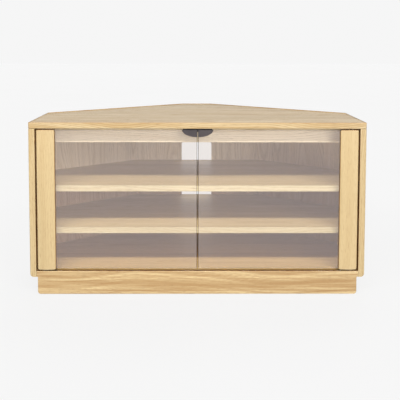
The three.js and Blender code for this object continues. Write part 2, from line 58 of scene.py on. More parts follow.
# The studio: brightness of the backdrop as the camera sees it, and of the light from all round
BACKDROP = 0.92
AMBIENT = 0.12

# The floor: its size, its greys, the light it gives off, and how it glows as the camera sees it,
# from under the strip light to farther off
FLOOR_SIZE = 60.0
FLOOR_DROP = 0.0004
FLOOR_GREYS = (0.05, 0.07)
FLOOR_LIGHT = 0.69
NEAR_GLOW = 0.806
FAR_GLOW = 0.858
GLOW_REACH = (1.0, 6.0)

# The strip light over the camera: its place, the point it faces, its width, height and power
STRIP_PLACE = (0.0, -3.5, 2.65)
STRIP_AIM = (0.0, -0.3, 0.35)
STRIP_SIZE = (5.2, 0.35)
STRIP_POWER = 257.0

# Lamps as far off as the sun: the way to each one, its width in degrees and its strength
FILL_LAMP = ((0.35, -1.0, 0.17), 26.0, 1.0)
REAR_LAMP = ((0.12, 1.0, 0.95), 40.0, 1.6)

# Directions in the cabinet's frame
RIGHT = (1.0, 0.0, 0.0)
BACK = (0.0, 1.0, 0.0)
FRONT = (0.0, -1.0, 0.0)
UP = (0.0, 0.0, 1.0)
DIAGONAL = math.sqrt(0.5)
BACK_RIGHT = (DIAGONAL, DIAGONAL, 0.0)
BACK_LEFT = (-DIAGONAL, DIAGONAL, 0.0)

# How far edges and corners are rounded over, in metres, and steps round a curve
ARRIS = 0.0012
PANEL_ARRIS = 0.0026
TOP_CORNER = 0.0035
SHELF_CORNER = 0.002
RAIL_CORNER = 0.0014
GLASS_CORNER = 0.0018
GLASS_ARRIS = 0.0009
ROUND_STEPS = 7

# The doors' stiles, measured from the pivot's axis, with X towards the middle of the cabinet
PIVOT_X = 0.505
STILE_OUTER = -0.020
STILE_INNER = 0.040
STILE_HALF_DEPTH = 0.011
STILE_CROWN = 0.0016
STILE_SHOULDER = 0.0035
STILE_ROUNDING = 0.005
STILE_END_ARRIS = 0.001
STILE_STEP = 0.0022
STILE_LEVEL_SHIFT = 0.0002
GROOVE_MIDDLE = 0.0005
GROOVE_DEPTH = 0.010
GROOVE_HALF = 0.0048
GROOVE_CORNER = 0.0006

# The soft channel's wall, its lips' rounding and that of its other corners
SEAL_WALL = 0.0012
SEAL_LIP = 0.0005
SEAL_CORNER = 0.0003
SEAL_INNER_CORNER = 0.0002

# The strike plates: how far the rim rolls over, its width, the dish's wall, corners, edges, the
# gap to the glass, the strip over the glass, and the ellipse's first and last angle and points
STRIKE_ROLL = 0.0005
STRIKE_RIM = 0.0019
STRIKE_DISH = 0.00015
STRIKE_CORNER = 0.0026
STRIKE_ARRIS = 0.0004
STRIKE_GAP = 0.0003
STRIP_DROP = 0.0001
STRIP_ARRIS = 0.0002
STRIKE_CURVE = (0.14, 1.50, 26)

# The back panels: how far they lie inside the top's edge, their thickness and their covered edge
BACK_INSET = 0.005
BACK_THICKNESS = 0.012
BACK_LIP = 0.008
SEAT_GAP = 0.0003

# The side panels' lower corners, corners in plan and ends, and the front board's step and corners
LOWER_ROUNDING = 0.011
SIDE_LEVEL_SHIFT = 0.0007
SIDE_CORNERS = (ARRIS, 0.003, 0.002, 0.0012, 0.0005, ARRIS)
SIDE_END_ARRISES = (0.0006, 0.0004)
STEP_HEIGHT = 0.057
PLINTH_SPAN = 0.525
PLINTH_ROUNDING = 0.009
BOARD_CORNER = 0.0014
STEP_CORNER = 0.0008

# Shelf pins: radius, length, reach out of the side, dome, the groove's places and share of the
# radius, the plain end's share and length, sides, and where a dome starts as a share of its arc
PIN_RADIUS = 0.0025
PIN_LENGTH = 0.017
PIN_REACH = 0.009
PIN_DOME = 0.001
PIN_GROOVE_STEPS = (0.0022, 0.0018, 0.0010, 0.0006)
PIN_GROOVE_SHARE = 0.88
PIN_END_SHARE = 0.8
PIN_END = 0.0005
PIN_SIDES = 28
DOME_START = 0.05

# The latch's tips: the dome's height, shares of the radius up the tip, the collar's edge and sides
TIP_DOME = 0.0005
TIP_DOME_SHARE = 0.62
TIP_SHARES = (0.68, 0.9, 1.0, 1.0, 0.9)
TIP_EDGE = 0.0006
TIP_SIDES = 32

# Pivot plates, and screws by the head's and the shank's radius, the length and the cone's height
PLATE_THICKNESS = 0.002
PLATE_END = 0.007
PLATE_SCREW_SPACING = 0.017
PLATE_SCREW = (0.0033, 0.0016, 0.012, 0.0016)
BACK_SCREW = (0.0036, 0.0018, 0.020, 0.0018)
LATCH_SCREW_SHANK = 0.00175
LATCH_SCREW_CONE = 0.0018
SCREW_SIDES = 40
SCREW_SKIN = 0.0003
SCREW_LIFT = 0.0001
BACK_SCREW_RISE = 0.010
BACK_SCREW_DROP = 0.011
FLAT_BACK_SCREWS = (-0.215, -0.075, 0.075, 0.215)
SLANT_BACK_SCREWS = (0.285, 0.400, 0.515)

# A screw's head, in shares of its radius: rim, crown, the recess's half width, half length, their
# slopes, and its depth
RIM_SHARES = (0.985, 0.95)
CROWN_SHARE = 0.06
RECESS_WIDTH_SHARES = (0.17, 0.07)
RECESS_LENGTH_SHARES = (0.62, 0.12)
RECESS_DEPTH_SHARE = 0.42

HANDS = {"left": -1, "right": 1}
PLACES = ("front", "middle", "rear")

# Regions of wood with painted light or shade: the nearest and farthest Y of the faces beside the
# doors, how far a region reaches past a board, how deep it goes into each board, and how high over
# the front board the side gaps' painted shade starts
# region reaches past a board, how deep it goes into each board, and how high over the front board
# the side gaps' shade starts
DOOR_GAP_DEPTHS = (-0.4475, -0.4245)
REGION_REACH = 0.01
REGION_SOFTNESS = 0.0008
WOOD_SKIN = 0.001
BOARD_SKIN = 0.0009
TOP_SKIN = 0.0014
STILE_SKIN = 0.0019
GAP_FLOOR = 0.0005

# The inside of a log, in metres: a ring's width, the taper along the grain, how far the pith
# wanders across and through a board, how far the rings waver, and a glue joint's width
RING_WIDTH = 0.0042
LOG_TAPER = 0.011
WANDER_ACROSS = 0.12
WANDER_THROUGH = 0.07
RING_WAVER = 0.0052
JOINT_REACH = (0.0005, 0.0001)
LOG_SHIFT = 40.0
STAVE_LABEL = 7.31

# How often a pattern repeats per metre, along the grain, across it and through it
WANDER_NOISE = (1.7, 1.0, 1.0)
WAVER_NOISE = (5.0, 38.0, 38.0)
BAND_NOISE = (62.0, 1.0, 1.0)
PORE_NOISE = (52.0, 1700.0, 1700.0)
FIBRE_NOISE = (4.0, 170.0, 170.0)
TONE_NOISE = (1.4, 7.0, 7.0)
HEART_NOISE = (3.0, 30.0, 30.0)
STEEL_NOISE = (60.0, 1900.0, 1900.0)

# How strongly rings, pores, glue joints and worn edges show (the worn edges paler partly from wear,
# partly as a painted highlight), how far in an edge is worn, the pores' depth in metres, and the
# lacquer's roughness: its spread, its least value and its coat's
RING_SHARE = 0.45
PORE_SHARE = 0.75
JOINT_SHARE = 0.5
WORN_HIGHLIGHT_SHARE = 0.4
WORN_HIGHLIGHT_REACH = (0.0032, 0.0006)
PORE_DEPTH = 0.00012
LACQUER_SPREAD = 0.14
LACQUER_ROUGHNESS = 0.33
COAT_ROUGHNESS = 0.13

# The front board's darker streak: its place across the board, its width, strength and drift
HEART = (0.0065, 0.019, 0.55)
HEART_DRIFT = 0.05

# The glass: two tints, that of its meeting edges with their width, how far its ground edges reach,
# its roughness, how much light passes, and what it mirrors and lets straight through
GLASS_TINTS = ((0.955, 0.91, 0.88, 1.0), (0.975, 0.93, 0.90, 1.0))
GLASS_EDGE_TINT = (0.12, 0.08, 0.06, 1.0)
GLASS_EDGE = 0.0030
GLASS_EDGE_SOFTNESS = 0.0003
GROUND_REACH = (0.0014, 0.0010)
GROUND_ROUGHNESS = 0.3
SMEAR_ROUGHNESS = 0.035
GLASS_PASSING = 0.951
GLASS_INDEX = 1.6
MIRRORED_TINT = (1.0, 0.77, 0.83, 1.0)
CLEAR_TINT = (0.98, 0.97, 0.96, 1.0)


def linear(red, green, blue):
    """A colour of 0 to 255 values as the eye sees it, turned into light."""
    shares = np.array([red, green, blue]) / 255.0
    light = np.where(shares <= 0.04045, shares / 12.92, ((shares + 0.055) / 1.055) ** 2.4)
    return (*light.tolist(), 1.0)


def oak_colours(pale, ring, pore, worn):
    """Oak colours: the pale wood, its darker rings, the lines of open pores, and where it is rubbed,
    which also paints a highlight on the edges.
    """
    return {"pale": linear(*pale), "ring": linear(*ring), "pore": linear(*pore), "worn": linear(*worn)}


OUTER_OAK = oak_colours((186, 165, 123), (170, 144, 99), (128, 96, 54), (198, 180, 142))
STILE_OAK = oak_colours((191, 169, 126), (178, 153, 109), (150, 120, 77), (200, 182, 144))
BOARD_OAK = oak_colours((212, 189, 142), (150, 115, 69), (112, 78, 40), (199, 176, 134))
TOP_OAK = oak_colours((195, 162, 115), (157, 116, 65), (120, 83, 42), (193, 162, 120))
# The inside's oaks, for the back panels, rail, shelves and base, are paler than the outer oak: painted
# light, standing in for more light inside the cabinet than the lamps give
WALL_OAK = oak_colours((250, 236, 208), (233, 214, 178), (178, 157, 120), (246, 238, 214))
SHELF_OAK = oak_colours((210, 191, 147), (195, 173, 127), (154, 129, 86), (216, 204, 165))
BASE_OAK = oak_colours((213, 184, 128), (197, 166, 108), (154, 126, 78), (216, 199, 150))

# What the wood's colour is multiplied by, for painted light and shade: painted shade in the gap
# under the doors, in those beside and over them, on the stiles' edges at the glass and on the
# shelves' front edges; a paler and bluer tone on the top's edges for how light falls there; painted
# shade inside the back panels below the upper shelf; and a darker outside on the back panels, which
# takes back the painted paleness of their inside oak
GAP_PAINTED_SHADE = (0.34, 0.20, 0.08, 1.0)
SIDE_GAP_PAINTED_SHADE = (0.62, 0.34, 0.12, 1.0)
STILE_EDGE_PAINTED_SHADE = (0.62, 0.47, 0.27, 1.0)
SHELF_EDGE_PAINTED_SHADE = (0.81, 0.865, 0.98, 1.0)
TOP_EDGE_PAINTED_LIGHT = (0.95, 1.14, 1.42, 1.0)
LOW_BACK_PAINTED_SHADE = (0.66, 0.52, 0.42, 1.0)
OUTER_BACK_SHADE = (0.76, 0.67, 0.56, 1.0)

# Each board's grain, the way its face looks, its oak, its staves' width, its pith's depth and a seed
BOARDS = {
    "top_board": (RIGHT, UP, TOP_OAK, 0.145, 0.06, 3.2),
    "front_board": (RIGHT, BACK, BOARD_OAK, 0.6, 0.035, 0.93),
    "rail_board": (RIGHT, BACK, WALL_OAK, 0.6, 0.05, 5.1),
    "base_panel": (RIGHT, UP, BASE_OAK, 0.145, 0.06, 6.7),
    "lower_shelf_board": (RIGHT, UP, SHELF_OAK, 0.145, 0.05, 8.4),
    "upper_shelf_board": (RIGHT, UP, SHELF_OAK, 0.145, 0.055, 1.6),
    "back_panel_centre": (UP, BACK, WALL_OAK, 0.085, 0.09, 2.9),
    "back_panel_left": (UP, BACK_LEFT, WALL_OAK, 0.085, 0.09, 4.2),
    "back_panel_right": (UP, BACK_RIGHT, WALL_OAK, 0.085, 0.09, 7.5),
    "back_cleat_centre": (RIGHT, UP, WALL_OAK, 0.5, 0.05, 3.7),
    "back_cleat_left": (BACK_RIGHT, UP, WALL_OAK, 0.5, 0.05, 4.8),
    "back_cleat_right": (BACK_LEFT, UP, WALL_OAK, 0.5, 0.05, 5.9),
    "plinth_back_centre": (RIGHT, BACK, OUTER_OAK, 0.5, 0.05, 6.1),
    "plinth_back_left": (BACK_RIGHT, BACK_LEFT, OUTER_OAK, 0.5, 0.05, 7.2),
    "plinth_back_right": (BACK_LEFT, BACK_RIGHT, OUTER_OAK, 0.5, 0.05, 8.3),
}

# The lacquer's coat and sheen and the strength of the fibre's streaks: on most boards, on the dull
# lowest boards, on the rest of the inside, on the top, and on the front board
FINISH = {"coat": 0.25, "sheen": 0.45, "streaks": 0.28}
DULL_FINISH = {"coat": 0.0, "sheen": 0.08, "streaks": 0.28}
INNER_FINISH = {"coat": 0.05, "sheen": 0.25, "streaks": 0.28}
TOP_FINISH = {"coat": 0.08, "sheen": 0.33, "streaks": 0.6}
BOARD_FINISH = {"coat": 0.25, "sheen": 0.45, "streaks": 0.9}

# Painted, plated and moulded finishes: two colours, the least and the greatest roughness, the
# grain's fineness and height in metres, and how metallic it is
SPECKLED = {
    "black_metal": (linear(45, 39, 41), linear(66, 59, 61), (0.32, 0.5), 900.0, 0.00002, 0.3),
    "seal_rubber": (linear(40, 33, 28), linear(58, 50, 44), (0.5, 0.7), 700.0, 0.00005, 0.0),
    "brown_nylon": (linear(84, 66, 46), linear(102, 82, 60), (0.4, 0.55), 500.0, 0.00003, 0.0),
    "black_plastic": (linear(44, 43, 46), linear(58, 57, 60), (0.4, 0.6), 800.0, 0.00006, 0.0),
    "dark_steel": (linear(70, 62, 52), linear(92, 82, 70), (0.45, 0.6), 1200.0, 0.00002, 0.6),
}
STEEL_COLOURS = (linear(176, 178, 180), linear(214, 215, 216))
STILE = (UP, FRONT, STILE_OAK, 1.3, 0.04)


class Nodes:
    """Short calls for a node tree. Each adds one node and gives back what it puts out."""

    def __init__(self, tree):
        self.tree = tree

    def add(self, kind, inputs, **settings):
        node = self.tree.nodes.new("ShaderNode" + kind)
        for name, value in settings.items():
            setattr(node, name, value)
        for key, value in inputs.items():
            if isinstance(value, bpy.types.NodeSocket):
                self.tree.links.new(value, node.inputs[key])
            else:
                node.inputs[key].default_value = value
        return node

    def math(self, operation, a, b=0.0, c=0.0):
        return self.add("Math", {0: a, 1: b, 2: c}, operation=operation).outputs[0]

    def times(self, a, b):
        return self.math("MULTIPLY", a, b)

    def plus(self, a, b):
        return self.math("ADD", a, b)

    def minus(self, a, b):
        return self.math("SUBTRACT", a, b)

    def scaled(self, value, factor, more):
        """A value times a factor, and more added to it."""
        return self.math("MULTIPLY_ADD", value, factor, more)

    def centred(self, value, span):
        """A value from 0 to 1 spread over the span, with its middle at nought."""
        return self.scaled(value, span, -span / 2)

    def vector(self, operation, a, b=(0.0, 0.0, 0.0)):
        return self.add("VectorMath", {0: a, 1: b}, operation=operation).outputs[0]

    def length(self, value):
        return self.add("VectorMath", {0: value}, operation="LENGTH").outputs["Value"]

    def noise(self, place, stretch, detail=2.0, roughness=0.5, colour=False):
        """Noise whose features repeat about as many times per metre as stretch says, which is one
        number or three, axis by axis."""
        stretch = stretch if isinstance(stretch, tuple) else (stretch, stretch, stretch)
        stretched = self.vector("MULTIPLY", place, stretch)
        inputs = {"Vector": stretched, "Scale": 1.0, "Detail": detail, "Roughness": roughness}
        node = self.add("TexNoise", inputs)
        return node.outputs[1 if colour else 0]

    def step(self, value, low, high):
        """A soft step from 0 at low to 1 at high."""
        inputs = {"Value": value, "From Min": low, "From Max": high}
        return self.add("MapRange", inputs, interpolation_type="SMOOTHSTEP").outputs[0]

    def mix(self, share, a, b, blend="MIX"):
        node = self.add("Mix", {0: share, 6: a, 7: b}, data_type="RGBA", blend_type=blend)
        return node.outputs[2]

    def split(self, value):
        return self.add("SeparateXYZ", {0: value}).outputs

    def join(self, x, y, z):
        return self.add("CombineXYZ", {0: x, 1: y, 2: z}).outputs[0]

    def object_place(self):
        return self.add("TexCoord", {}).outputs["Object"]

    def bump(self, height, distance, strength):
        inputs = {"Height": height, "Distance": distance, "Strength": strength}
        return self.add("Bump", inputs).outputs[0]

    def surface(self, inputs):
        """The finished surface, with these inputs of the principled shader."""
        shader = self.add("BsdfPrincipled", inputs).outputs[0]
        self.add("OutputMaterial", {"Surface": shader})


def new_material(name):
    material = bpy.data.materials.new(name)
    material.use_nodes = True
    material.node_tree.nodes.clear()
    return material, Nodes(material.node_tree)


def new_group(name, inputs, outputs):
    """An empty node group. Gives its tree, its nodes and what is put into it, by name."""
    tree = bpy.data.node_groups.new(name, "ShaderNodeTree")
    for way, sockets in (("INPUT", inputs), ("OUTPUT", outputs)):
        for socket, kind in sockets.items():
            tree.interface.new_socket(socket, in_out=way, socket_type="NodeSocket" + kind)
    return tree, Nodes(tree), tree.nodes.new("NodeGroupInput").outputs


def group_results(tree, results):
    out = tree.nodes.new("NodeGroupOutput")
    for name, value in results.items():
        tree.links.new(value, out.inputs[name])
    return tree


def oak_figure():
    """The inside of an oak log, read at a place given along the grain, across it and through it.

    A board is glued from staves, and each stave is cut from its own log. The ring number at a
    place is the distance from the log's wandering pith, less a taper along the grain, over the
    ring's width. Pores are long thin cells of noise, dense where a ring starts.
    """
    wanted = dict.fromkeys(("Rings", "Bands", "Pores", "Fibre", "Tone", "Joint"), "Float")
    given = {"Place": "Vector", "Stave": "Float", "Pith": "Float", "Seed": "Float"}
    tree, nodes, given = new_group("oak_figure", given, wanted)
    place, stave, pith, seed = given["Place"], given["Stave"], given["Pith"], given["Seed"]
    along, across, through = nodes.split(place)

    count = nodes.plus(nodes.math("DIVIDE", across, stave), seed)
    number = nodes.math("FLOOR", count)
    share = nodes.minus(nodes.math("FRACT", count), 0.5)
    label = nodes.scaled(number, STAVE_LABEL, seed)
    log = nodes.add("TexWhiteNoise", {"W": label}, noise_dimensions="1D").outputs["Color"]
    sideways, deeper, shift = nodes.split(log)
    in_stave = nodes.times(share, stave)
    log_along = nodes.scaled(shift, LOG_SHIFT, along)
    log_place = nodes.join(log_along, in_stave, through)

    wander = nodes.noise(nodes.join(log_along, label, 0.0), WANDER_NOISE, 1.0, colour=True)
    wander_across, wander_through, _ = nodes.split(wander)
    pith_across = nodes.times(nodes.minus(sideways, 0.5), stave)
    off_across = nodes.minus(in_stave, pith_across)
    off_across = nodes.plus(off_across, nodes.centred(wander_across, WANDER_ACROSS))
    pith_depth = nodes.times(pith, nodes.scaled(deeper, 1.1, 0.35))
    off_through = nodes.plus(through, pith_depth)
    off_through = nodes.plus(off_through, nodes.centred(wander_through, WANDER_THROUGH))
    spread = nodes.length(nodes.join(off_across, off_through, 0.0))
    radius = nodes.scaled(log_along, -LOG_TAPER, spread)
    waver = nodes.noise(log_place, WAVER_NOISE, 3.0)
    radius = nodes.scaled(waver, RING_WAVER, radius)

    ring_share = nodes.math("FRACT", nodes.math("DIVIDE", radius, RING_WIDTH))
    opening = nodes.step(ring_share, 0.0, 0.12)
    closing = nodes.step(ring_share, 0.75, 0.25)
    rings = nodes.times(opening, closing)
    band_noise = nodes.noise(nodes.join(radius, label, 0.0), BAND_NOISE)
    bands = nodes.step(band_noise, 0.36, 0.66)

    pore_noise = nodes.noise(log_place, PORE_NOISE, 1.0)
    pores = nodes.step(pore_noise, 0.53, 0.66)
    pores = nodes.times(pores, nodes.scaled(rings, 0.8, 0.2))
    fibre = nodes.noise(log_place, FIBRE_NOISE, 5.0, 0.65)
    toned_place = nodes.vector("ADD", log_place, nodes.join(label, 0.0, 0.0))
    tone = nodes.noise(toned_place, TONE_NOISE)
    tone = nodes.plus(tone, nodes.centred(sideways, 0.5))
    edge = nodes.minus(0.5, nodes.math("ABSOLUTE", share))
    joint = nodes.step(nodes.times(edge, stave), *JOINT_REACH)
    found = (rings, bands, pores, fibre, tone, joint)
    return group_results(tree, dict(zip(wanted, found)))


def edge_distance():
    """How far a place on a board is from the nearest edge: the middle one of its three distances
    to the board's faces, because the least one is near zero all over the surface."""
    sockets = {"Place": "Vector", "Half": "Vector"}
    tree, nodes, given = new_group("edge_distance", sockets, {"Distance": "Float"})
    inside = nodes.vector("SUBTRACT", given["Half"], nodes.vector("ABSOLUTE", given["Place"]))
    a, b, c = nodes.split(inside)
    low = nodes.math("MINIMUM", a, b)
    high = nodes.math("MINIMUM", nodes.math("MAXIMUM", a, b), c)
    return group_results(tree, {"Distance": nodes.math("MAXIMUM", low, high)})


OAK_FIGURE = oak_figure()
EDGE_DISTANCE = edge_distance()


def joined_outline(corners, radii, steps=ROUND_STEPS):
    """An outline through corner points, each replaced by an arc: the arc's middle lies on the
    corner's bisector, as far off as makes it touch both sides. Repeated points are dropped."""
    corners = np.array(corners, float)
    radii = np.broadcast_to(np.array(radii, float), len(corners))
    back = np.roll(corners, 1, axis=0) - corners
    ahead = np.roll(corners, -1, axis=0) - corners
    back /= np.linalg.norm(back, axis=1)[:, None]
    ahead /= np.linalg.norm(ahead, axis=1)[:, None]
    half = np.arccos(np.clip((back * ahead).sum(axis=1), -1.0, 1.0)) / 2
    cut = radii / np.tan(half)
    start = corners + back * cut[:, None]
    end = corners + ahead * cut[:, None]
    bisector = back + ahead
    bisector /= np.maximum(np.linalg.norm(bisector, axis=1), 1e-9)[:, None]
    middle = corners + bisector * (radii / np.sin(half))[:, None]
    share = np.linspace(0.0, 1.0, steps)[None, :, None]
    sweep = (math.pi - 2 * half)[:, None, None]
    first = (start - middle)[:, None, :]
    last = (end - middle)[:, None, :]
    arc = np.sin((1 - share) * sweep) * first + np.sin(share * sweep) * last
    arc = middle[:, None, :] + arc / np.maximum(np.sin(sweep), 1e-9)
    points = arc.reshape(-1, 2)
    apart = np.linalg.norm(points - np.roll(points, 1, axis=0), axis=1)
    points = points[apart > 1e-7]
    following = np.roll(points, -1, axis=0)
    area = (points[:, 0] * following[:, 1] - following[:, 0] * points[:, 1]).sum()
    return points if area > 0 else points[::-1]


def box_outline(low, high, axes, radius, steps=ROUND_STEPS):
    """A box's outline in the plane of two of its axes, with round corners."""
    a, b = axes
    corners = [(low[a], low[b]), (high[a], low[b]), (high[a], high[b]), (low[a], high[b])]
    return joined_outline(corners, radius, steps)


def with_steps(outline, longest):
    """The same outline with more points, evenly spaced by no more than the longest step."""
    closed = np.vstack([outline, outline[:1]])
    lengths = np.concatenate([[0.0], np.cumsum(np.linalg.norm(np.diff(closed, axis=0), axis=1))])
    marks = np.union1d(lengths, np.arange(0.0, lengths[-1], longest))
    marks = marks[np.concatenate([[True], np.diff(marks) > 1e-6])]
    points = np.stack([np.interp(marks, lengths, closed[:, axis]) for axis in (0, 1)], axis=1)
    return points[:-1]


def inset(outline, distances):
    """The outline moved inwards by each distance. A point moves along the sum of the normals of
    its two sides, divided by one plus their product, which keeps the sides parallel."""
    side = np.roll(outline, -1, axis=0) - outline
    side /= np.linalg.norm(side, axis=1)[:, None]
    normal = np.stack([side[:, 1], -side[:, 0]], axis=1)
    before = np.roll(normal, 1, axis=0)
    mitre = (normal + before) / (1 + (normal * before).sum(axis=1))[:, None]
    return outline[None] - np.array(distances)[:, None, None] * mitre[None]


def stacked(outline, insets, heights):
    """Rings of an outline, one at each height, moved inwards by each inset."""
    flat = inset(outline, insets)
    levels = np.broadcast_to(heights[:, None, None], (*flat.shape[:2], 1))
    return np.concatenate([flat, levels], axis=2)


def edge_profile(low, high, low_round, high_round, steps=ROUND_STEPS):
    """Heights from low to high, each with its inset: a quarter circle, a straight, another one."""
    angle = np.linspace(0.0, math.pi / 2, steps)
    rising = low + low_round * (1 - np.cos(angle))
    ending = high - high_round * np.cos(angle[::-1])
    insets = [low_round * (1 - np.sin(angle)), high_round * (1 - np.sin(angle[::-1]))]
    return np.concatenate(insets), np.concatenate([rising, ending])


def quarter_left(distance, radius):
    """What a quarter circle of this radius takes off at a distance from the end it rounds."""
    fall = np.clip(1 - distance / radius, 0.0, 1.0)
    return radius * (1 - np.sqrt(1 - fall ** 2))


def rounded_rings(outline, low, high, arris=ARRIS, axes=(0, 1, 2)):
    """Rings of points for an outline carried from low to high with its edges rounded over. The
    axes say where the outline's two directions and the height go."""
    level = stacked(outline, *edge_profile(low, high, arris, arris))
    rings = np.empty_like(level)
    rings[..., list(axes)] = level
    return rings[:, ::-1] if axes == (0, 2, 1) else rings


def turned_rings(radii, heights, point, direction, sides):
    """Rings for a profile of radii and heights turned about an axis through a point."""
    upwards = np.array(direction, float)
    upwards /= np.linalg.norm(upwards)
    helper = np.array(BACK if abs(upwards[1]) < 0.9 else UP)
    first = np.cross(helper, upwards)
    first /= np.linalg.norm(first)
    second = np.cross(upwards, first)
    angle = np.linspace(0.0, 2 * math.pi, sides, endpoint=False)
    circle = np.cos(angle)[:, None] * first + np.sin(angle)[:, None] * second
    radii = np.array(radii, float)
    heights = np.array(heights, float).reshape(len(heights), -1, 1)
    return np.array(point) + radii[:, None, None] * circle[None] + heights * upwards


def ring_faces(count, around, first):
    """Four-cornered faces between rings, and one face over each end."""
    row, column = np.meshgrid(np.arange(count - 1), np.arange(around), indexing="ij")
    after = (column + 1) % around
    quads = np.stack([
        row * around + column,
        row * around + after,
        (row + 1) * around + after,
        (row + 1) * around + column,
    ], axis=-1).reshape(-1, 4) + first
    bottom = (np.arange(around)[::-1] + first).tolist()
    top = (np.arange(around) + (count - 1) * around + first).tolist()
    return quads, [bottom, top]


def area_normals(points, quads, ends):
    """A normal for each point: the sum of its faces' normals, each as long as the face is large,
    so that flat faces stay flat beside their rounded edges."""
    across = points[quads[:, 2]] - points[quads[:, 0]]
    along = points[quads[:, 3]] - points[quads[:, 1]]
    area = np.cross(across, along)
    normals = np.zeros_like(points)
    for corner in range(4):
        np.add.at(normals, quads[:, corner], area)
    for end in ends:
        ring = points[end]
        normals[end] += np.cross(ring, np.roll(ring, -1, axis=0)).sum(axis=0)
    return normals / np.maximum(np.linalg.norm(normals, axis=1), 1e-12)[:, None]


def piece_of(name, shells, body, replaced=()):
    """A piece made of one or more closed shells of rings."""
    points, quads, ends, first = [], [], [], 0
    for rings in shells:
        count, around = rings.shape[:2]
        faces, caps = ring_faces(count, around, first)
        points.append(rings.reshape(-1, 3))
        quads.append(faces)
        ends.extend(caps)
        first += count * around
    points, quads = np.concatenate(points), np.concatenate(quads)
    mesh = bpy.data.meshes.new(name)
    mesh.from_pydata(points.tolist(), [], quads.tolist() + ends, shade_flat=False)
    mesh.normals_split_custom_set_from_vertices(area_normals(points, quads, ends).tolist())
    piece = bpy.data.objects.new(name, mesh)
    bpy.context.scene.collection.objects.link(piece)
    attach(piece, body)
    if replaced:
        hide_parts(*replaced)
    return piece


def corners_of(node):
    """The lowest and highest corner of a node."""
    low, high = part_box(node)
    return np.array(low), np.array(high)


def mesh_points(obj):
    points = np.empty(len(obj.data.vertices) * 3)
    obj.data.vertices.foreach_get("co", points)
    return points.reshape(-1, 3)


def node_diagonal(node):
    """Width plus Y along a node's 45 degree edges."""
    points = mesh_points(frame["nodes"][node])
    return float((np.abs(points[:, 0]) + points[:, 1]).max())


def make_plan_board(name, node, corner, arris):
    """A board with the cabinet's six-sided plan: on its 45 degree edges the width plus Y is the
    diagonal."""
    low, high = corners_of(node)
    diagonal = node_diagonal(node)
    span, front, back = high[0], low[1], high[1]
    right = [(span, front), (span, diagonal - span), (diagonal - back, back)]
    left = [(-x, y) for x, y in right[::-1]]
    outline = joined_outline(left[-1:] + right + left[:-1], corner)
    rings = rounded_rings(outline, low[2], high[2], arris)
    return piece_of(name, [rings], "carcase", [node])


def make_front_board():
    """The tall board under the doors, seen from the front: wide over the step, narrow under it."""
    low, high = corners_of("front_base_board")
    step = STEP_HEIGHT
    right = [(PLINTH_SPAN, low[2]), (PLINTH_SPAN, step), (high[0], step), (high[0], high[2])]
    left = [(-x, z) for x, z in right[::-1]]
    radii = [PLINTH_ROUNDING, STEP_CORNER, ARRIS, BOARD_CORNER]
    outline = joined_outline(right + left, radii + radii[::-1])
    rings = rounded_rings(outline, low[1], high[1], axes=(0, 2, 1))
    return piece_of("front_board", [rings], "carcase", ["front_base_board"])


def make_rail():
    low, high = corners_of("top_rail")
    outline = box_outline(low, high, (0, 2), RAIL_CORNER)
    rings = rounded_rings(outline, low[1], high[1], axes=(0, 2, 1))
    return piece_of("rail_board", [rings], "carcase", ["top_rail"])


def side_outline(inner, outer, front, sign):
    """A side board's section, which ends at the back in a 45 degree rebate for the back panel."""
    rebate = (BACK_THICKNESS + SEAT_GAP) * DIAGONAL
    lip_x = outer - BACK_LIP * DIAGONAL
    back_diagonal = node_diagonal("top_panel") - BACK_INSET / DIAGONAL
    seat = back_diagonal - (BACK_THICKNESS + SEAT_GAP) / DIAGONAL
    lip_y = back_diagonal - lip_x
    plan = [
        (inner, front),
        (outer, front),
        (outer, back_diagonal - outer),
        (lip_x, lip_y),
        (lip_x - rebate, lip_y - rebate),
        (inner, seat - inner),
    ]
    return joined_outline([(sign * x, y) for x, y in plan], SIDE_CORNERS)


def make_side(hand, sign):
    """A side board, whose section narrows towards its foot by what a quarter circle leaves."""
    low, high = corners_of("side_panel_" + hand)
    inner, outer = sorted((abs(low[0]), abs(high[0])))
    outline = side_outline(inner, outer, low[1], sign)
    insets, heights = edge_profile(low[2], high[2], *SIDE_END_ARRISES)
    angle = np.linspace(0.1, 1.0, 12) * math.pi / 2
    more = low[2] + LOWER_ROUNDING * (1 - np.cos(angle)) + SIDE_LEVEL_SHIFT
    levels = np.sort(np.concatenate([heights, more]))
    rings = stacked(outline, np.interp(levels, heights, insets), levels)
    narrowing = quarter_left(rings[..., 2] - low[2], LOWER_ROUNDING)
    width = outer - inner
    share = (np.abs(rings[..., 0]) - inner) / width
    rings[..., 0] = sign * (inner + share * (width - narrowing))
    return piece_of("side_board_" + hand, [rings], "carcase", ["side_panel_" + hand])


def stile_outline(mirror, pivot_x, pivot_y):
    """A stile's section: a front that bulges as a parabola between two rounded shoulders, and a
    groove for the glass in the edge that faces the other door."""
    front, rear = STILE_CROWN - STILE_HALF_DEPTH, STILE_HALF_DEPTH
    floor = STILE_INNER - GROOVE_DEPTH
    near, far = GROOVE_MIDDLE - GROOVE_HALF, GROOVE_MIDDLE + GROOVE_HALF
    corners = [
        (STILE_OUTER, front),
        (STILE_INNER, front),
        (STILE_INNER, near),
        (floor, near),
        (floor, far),
        (STILE_INNER, far),
        (STILE_INNER, rear),
        (STILE_OUTER, rear),
    ]
    inner_radii = [ARRIS, GROOVE_CORNER, GROOVE_CORNER, ARRIS, ARRIS, ARRIS]
    radii = [STILE_SHOULDER, STILE_SHOULDER] + inner_radii
    outline = with_steps(joined_outline(corners, radii), STILE_STEP)
    middle = (STILE_INNER + STILE_OUTER) / 2
    half = (STILE_INNER - STILE_OUTER) / 2 - STILE_SHOULDER
    on_front = (outline[:, 1] < front + 1e-6) & (np.abs(outline[:, 0] - middle) < half)
    bulge = STILE_CROWN * (1 - ((outline[:, 0] - middle) / half) ** 2)
    outline[:, 1] -= np.where(on_front, bulge, 0.0)
    outline = outline * (mirror, 1.0) + (pivot_x, pivot_y)
    return outline if mirror > 0 else outline[::-1]


